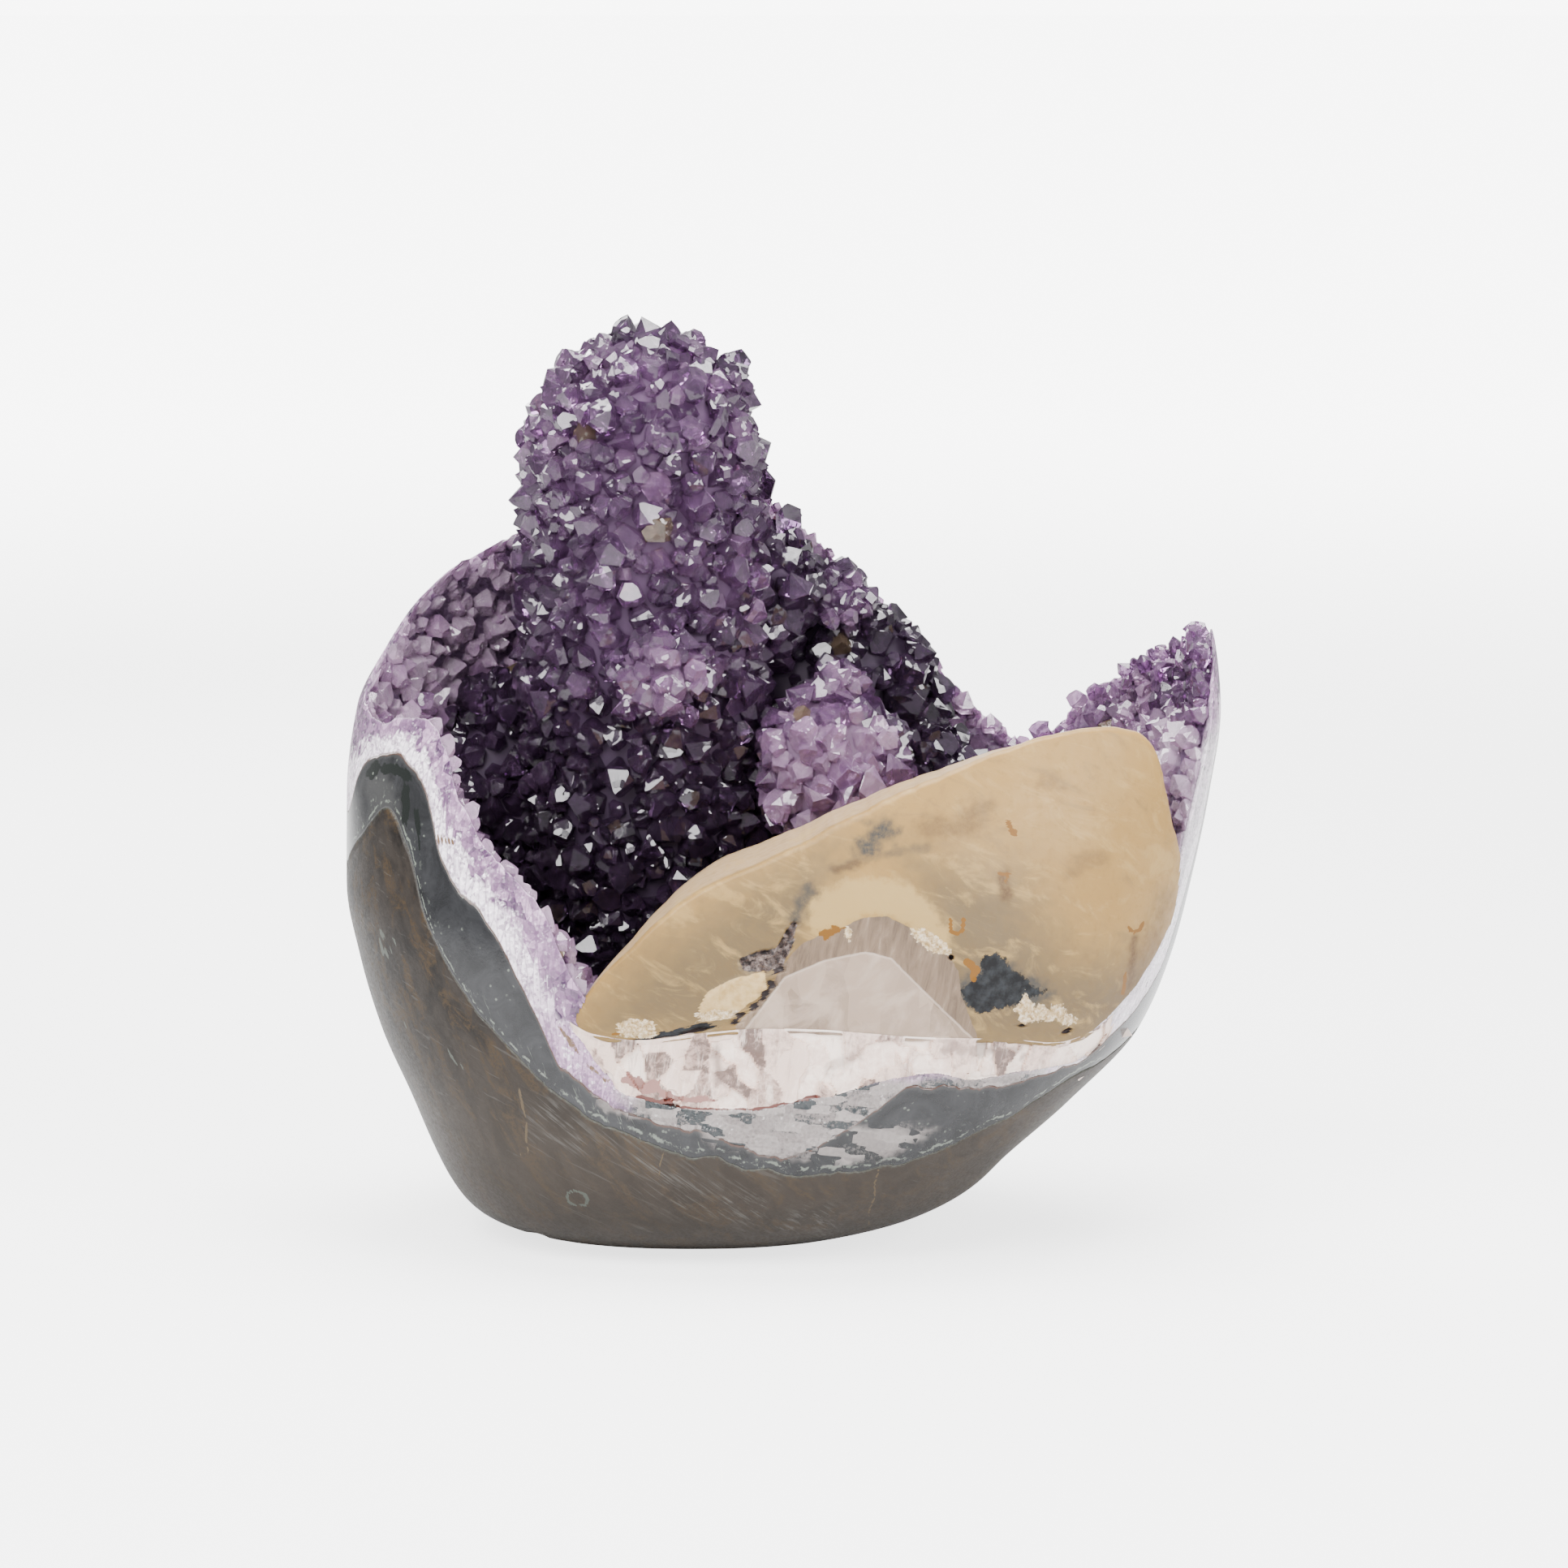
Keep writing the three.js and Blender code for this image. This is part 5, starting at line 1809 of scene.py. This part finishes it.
@dataclass
class Stalactite:
    """The column in the hollow, covered with amethyst points, and the lumps grown on it."""

    outline: Pairs = (
        (0, 26), (24, 26), (30, 52), (31, 80), (28, 105), (26.5, 125), (25.8, 143), (25.2, 158),
        (24.4, 167), (22.2, 175), (19.0, 181.5), (13, 187.5), (0, 190.5),
    )
    middles: tuple[Point, ...] = (
        (26, -22, 22), (60, -25, 21), (95, -28, 16), (125, -30, 10), (160, -30.5, 8), (191, -30, 8),
    )
    lumps: tuple[Lump, ...] = (
        # The lumps low in the hollow get dark tones, partly as painted shade.
        Lump("foot", (6, 25, 92), (32, 17, 44), 0.12),
        Lump("low_foot", (34, 23, 74), (18, 17, 28), 0.15),
        Lump("left_foot", (-60, 22, 84), (17, 15, 34), 0.15),
        Lump("crown", (-29, 8, 184), (14, 14, 8.5), 0.52),
        Lump("crown_right", (-15, 8, 180.5), (7, 9, 6), 0.5, 0.7),
        Lump("waist", (-33, -4, 147), (15, 13, 16), 0.5),
        Lump("small_rosette", (-26.5, -13, 121), (11, 11, 11), 0.56, 0.95),
        Lump("large_rosette", (10.0, -3, 98.5), (16, 14, 17), 0.7, 1.05),
        Lump("large_rosette_tip", (11.5, 4, 114), (6.5, 8, 7.5), 0.7, 0.75),
        Lump("shoulder", (11, 20, 133), (8.5, 9, 8), 0.5, 0.8),
        Lump("shoulder_root", (-4, 16, 134), (12, 11, 17), 0.3),
    )
    columns: int = 48
    rows: int = 60
    lump_rows: int = 20
    density: float = 2.4  # candidate places for each square mm
    bed_depth: float = 1.6  # how far the core lies below the crystals' feet
    lowest: float = 0.002  # steps between which crystals stand, clear of the poles
    highest: float = 0.998
    in_stem: float = 0.07  # deeper in the stem than this share, no crystal stands
    in_lump: float = 0.12
    greatest_raise: float = 2.2  # of a crystal's foot above the surface, in mm
    # Dark low down, partly as painted shade deep in the hollow.
    tones: Pairs = (  # by height
        (24, 0.1), (85, 0.11), (105, 0.19), (125, 0.36), (160, 0.44), (180, 0.48), (191, 0.52),
    )
    closeness: float = 0.6
    lean: float = 0.36

    def surface(self, bearing: Array, step: Array) -> Array:
        """Gives points on the stem: step runs from its foot to its top."""
        radius, z = np.array(self.outline, float).T
        along = np.concatenate([[0], np.cumsum(np.hypot(np.diff(radius), np.diff(z)))])
        along = along / along[-1]
        reach = SmoothCurve(tuple(zip(along.tolist(), radius.tolist())))(step)
        level = SmoothCurve(tuple(zip(along.tolist(), z.tolist())))(step)
        x, y = self.middle(level)
        around = place(reach * np.cos(bearing), reach * np.sin(bearing), level)
        uneven = reach * (1 + 0.05 * grain(around, 15, 2))
        return place(x + uneven * np.cos(bearing), y + uneven * np.sin(bearing), level)

    def middle(self, z: Array) -> tuple[Array, Array]:
        """Gives the stem's middle at heights."""
        x = SmoothCurve(tuple((m[0], m[1]) for m in self.middles))(z)
        return x, SmoothCurve(tuple((m[0], m[2]) for m in self.middles))(z)

    def radius(self, z: Array) -> Array:
        """Gives the stem's radius at heights."""
        rising = [(z, r) for r, z in self.outline[1:]]
        return np.where((z < 24) | (z > 190.5), 0.0, SmoothCurve(tuple(rising))(z))

    def stem_depth(self, points: Array) -> Array:
        """Gives how deep points lie inside the stem, as a share of its radius."""
        x, y = self.middle(points[..., 2])
        radius = self.radius(points[..., 2])
        away = np.hypot(points[..., 0] - x, points[..., 1] - y)
        return np.where(radius > 0, 1 - away / np.maximum(radius, 1e-6), -1.0)

    def core(self) -> Piece:
        """Builds the stone below the crystals."""
        parts = []
        shapes = [("stem", self.surface, self.rows, None)]
        shapes += [(lump.name, lump.surface, self.lump_rows, lump.tone) for lump in self.lumps]
        for name, surface, rows, tone in shapes:
            piece, bearing, row = sphere_net(name, self.columns, rows)
            points = surface(bearing, row / rows)
            move_vertices(piece, points)
            normals = np.empty(len(points) * 3, np.float32)
            piece.data.vertex_normals.foreach_get("vector", normals)
            move_vertices(piece, points - self.bed_depth * normals.reshape(-1, 3))
            store(piece, "tone", self.stem_tone(points) if tone is None else np.full(len(points), tone))
            parts.append(piece)
        clear_selection()
        for part in parts:
            part.select_set(True)
        bpy.context.view_layer.objects.active = parts[0]
        bpy.ops.object.join()
        core = bpy.context.object
        core.name = core.data.name = "stalactite_core"
        turn_faces_out(core)
        bpy.ops.object.shade_smooth()
        return core

    def crystals(self, models: Models, rng: np.random.Generator) -> list[Piece]:
        """Grows the points on the stem and on every lump."""
        feet, ways, radii, tones, owners = [], [], [], [], []
        for number, part in enumerate((None, *self.lumps)):
            surface = self.surface if part is None else part.surface
            count = int(self.density * self.area(surface))
            foot, way = candidates(surface, count, self.lowest, self.highest, rng)[2:]
            buried = np.zeros(count, bool)
            if part is not None:
                buried |= self.stem_depth(foot) > self.in_stem
            for other in self.lumps:
                if other is not part:
                    buried |= other.depth(foot) > self.in_lump
            free = ~buried
            feet.append(foot[free])
            ways.append(way[free])
            radii.append(crystal_radii(count, rng, 1.0 if part is None else part.grain)[free])
            owners.append(np.full(free.sum(), number))
            pale = self.stem_tone(foot)
            if part is not None:
                # Crystals on a lump's sides and back, turned away from the front, get up to 40% lower
                # tones: painted shade.
                pale = part.tone * (0.6 + 0.4 * smooth_step(-way[:, 1], -0.1, 0.8))
            tones.append(pale[free])
        foot, way, radius, tone = (np.concatenate(a) for a in (feet, ways, radii, tones))
        order = np.argsort(-np.floor(radius * 2), kind="stable")
        foot, way, radius, tone = foot[order], way[order], radius[order], tone[order]
        kept = scatter(foot, radius, self.closeness)
        foot, way, radius, tone = foot[kept], way[kept], radius[kept], tone[kept]
        raised = np.minimum((0.05 + 0.85 * rng.random(len(kept)) ** 2) * radius, self.greatest_raise)
        foot = foot + way * raised[:, None]
        tone = tone + 0.09 * grain(foot, 14, 3) + 0.06 * rng.normal(size=len(kept))
        on_stem = np.concatenate(owners)[order][kept] == 0
        return [
            joined_crystals(
                name,
                CrystalPatch(foot[mine], way[mine], radius[mine], tone[mine]),
                models,
                rng,
                self.lean,
            )
            for name, mine in (("stem_crystals", on_stem), ("lump_crystals", ~on_stem))
        ]

    def area(self, surface: Surface) -> float:
        """Gives a surface's area in square mm."""
        around, up = np.meshgrid(np.linspace(0, 2 * math.pi, 61), np.linspace(0, 1, 61))
        points = surface(around, up)
        across = points[:-1, 1:] - points[:-1, :-1]
        along = points[1:, :-1] - points[:-1, :-1]
        return float(np.linalg.norm(np.cross(across, along), axis=-1).sum())

    def stem_tone(self, points: Array) -> Array:
        """Gives how pale the stem's crystals are: dark low in the hollow, partly as painted shade,
        lavender at the top.
        """
        return SmoothCurve(self.tones)(points[:, 2])


# Studio


@dataclass
class Studio:
    """Pale floor, soft lights and the camera at the photograph's viewing angle."""

    elevation: float = 8.0
    distance: float = 1300.0
    target: Point = (0.0, 0.0, 95.5)
    width_of_view: float = 335.8
    sensor: float = 36.0
    light: float = 0.8
    backdrop: float = 8.0
    sight: float = 20.0  # how far the camera sees, in metres
    floor_size: float = 120.0  # in metres
    floor_colour: Colour = (0.7, 0.7, 0.7)

    def build(self) -> None:
        """Sets up camera, floor, lights and surroundings."""
        self.camera()
        self.floor()
        self.lamp("key", (-360, -660, 700), 600, 20.0)
        self.lamp("fill", (620, -560, 420), 450, 11.0)
        self.lamp("top", (60, 120, 900), 600, 20.0)
        self.lamp("back", (-300, 700, 500), 400, 6.0)
        self.surroundings()

    def surroundings(self) -> None:
        """Lights the stone softly from all round, against a paler background."""
        world = bpy.data.worlds.new("studio")
        bpy.context.scene.world = world
        world.use_nodes = True
        tree = world.node_tree
        seen = tree.nodes.new("ShaderNodeLightPath").outputs["Is Camera Ray"]
        strength = tree.nodes.new("ShaderNodeMix")
        tree.links.new(seen, strength.inputs[0])
        strength.inputs[2].default_value = self.light
        strength.inputs[3].default_value = self.backdrop
        background = tree.nodes["Background"]
        background.inputs["Color"].default_value = (1.0, 1.0, 1.0, 1.0)
        tree.links.new(strength.outputs[0], background.inputs["Strength"])

    def camera(self) -> None:
        """Adds the camera."""
        tilt = math.radians(self.elevation)
        data = bpy.data.cameras.new("camera")
        data.sensor_width = self.sensor
        data.lens = self.sensor * self.distance / self.width_of_view
        data.clip_end = self.sight
        camera = bpy.data.objects.new("camera", data)
        x, y, z = self.target
        camera.location = Vector(
            (x, y - self.distance * math.cos(tilt), z + self.distance * math.sin(tilt))
        ) * MM
        camera.rotation_euler = (math.pi / 2 - tilt, 0, 0)
        bpy.context.scene.collection.objects.link(camera)
        bpy.context.scene.camera = camera

    def floor(self) -> None:
        """Adds the floor that the stone stands on."""
        clear_selection()
        bpy.ops.mesh.primitive_plane_add(size=self.floor_size, location=(0, 0, 0))
        floor = bpy.context.object
        floor.name = "floor"
        r = Recipe("floor")
        length = r.add("ShaderNodeVectorMath", operation="LENGTH")
        r.feed(length.inputs[0], r.position())
        far = r.span(length.outputs["Value"], 300, 2200, 0.3 * self.backdrop, 0.88 * self.backdrop)
        seen = r.add("ShaderNodeLightPath").outputs["Is Camera Ray"]
        floor.data.materials.append(
            r.finish(
                Base_Color=self.floor_colour,
                Roughness=0.9,
                Specular_IOR_Level=0.1,
                Emission_Color=(1.0, 1.0, 1.0),
                Emission_Strength=r.math("MULTIPLY", far, seen),
            )
        )

    def lamp(self, name: str, at: Point, size: float, power: float) -> None:
        """Adds a square soft light that faces the stone.

        Args:
            name: name of the lamp.
            at: where it hangs.
            size: length of its sides.
            power: in watts.
        """
        data = bpy.data.lights.new(name, "AREA")
        data.size = size * MM
        data.energy = power
        lamp = bpy.data.objects.new(name, data)
        lamp.location = Vector(at) * MM
        aim = Vector(self.target) * MM - lamp.location
        lamp.rotation_euler = aim.to_track_quat("-Z", "Y").to_euler()
        bpy.context.scene.collection.objects.link(lamp)


def main() -> None:
    """Builds the druse and its studio."""
    rng = np.random.default_rng(SEED)
    Studio().build()
    amethyst = AmethystFinish().material()

    basalt = BasaltRind("basalt_body", "basalt_rind", Slot.BASALT, BASALT, None, 66, evenness=1.5)
    deliver(basalt.build(), basalt.slot, BasaltFinish().material(), basalt.node)
    agate = AgateBand("agate_body", "agate_band", Slot.AGATE, AGATE, BASALT, 34)
    deliver(agate.build(), agate.slot, AgateFinish().material(), agate.node)
    quartz = QuartzLayer("quartz_body", "amethyst_crust", Slot.AMETHYST, QUARTZ, AGATE, 56, wall_rows=20)
    deliver(quartz.build(), quartz.slot, QuartzRimFinish().material(), quartz.node)
    deliver(SparBed().build(), Slot.WHITE_CALCITE, SparFinish().material(), "calcite_spar")
    deliver(CalciteCrystal().build(), Slot.HONEY_CALCITE, CalciteFinish().material(), "calcite_crystal")

    models = CrystalHabit().build(rng)
    deliver(WallCrystals().build(models, rng), Slot.AMETHYST, amethyst, "amethyst_crust")
    stalactite = Stalactite()
    deliver(stalactite.core(), Slot.AMETHYST, AmethystFinish().bed(), "amethyst_stalactite")
    for crystals in stalactite.crystals(models, rng):
        deliver(crystals, Slot.AMETHYST, amethyst, "amethyst_stalactite")


if __name__ == "__main__":
    logging.basicConfig(level=logging.INFO, format="%(message)s")
    main()
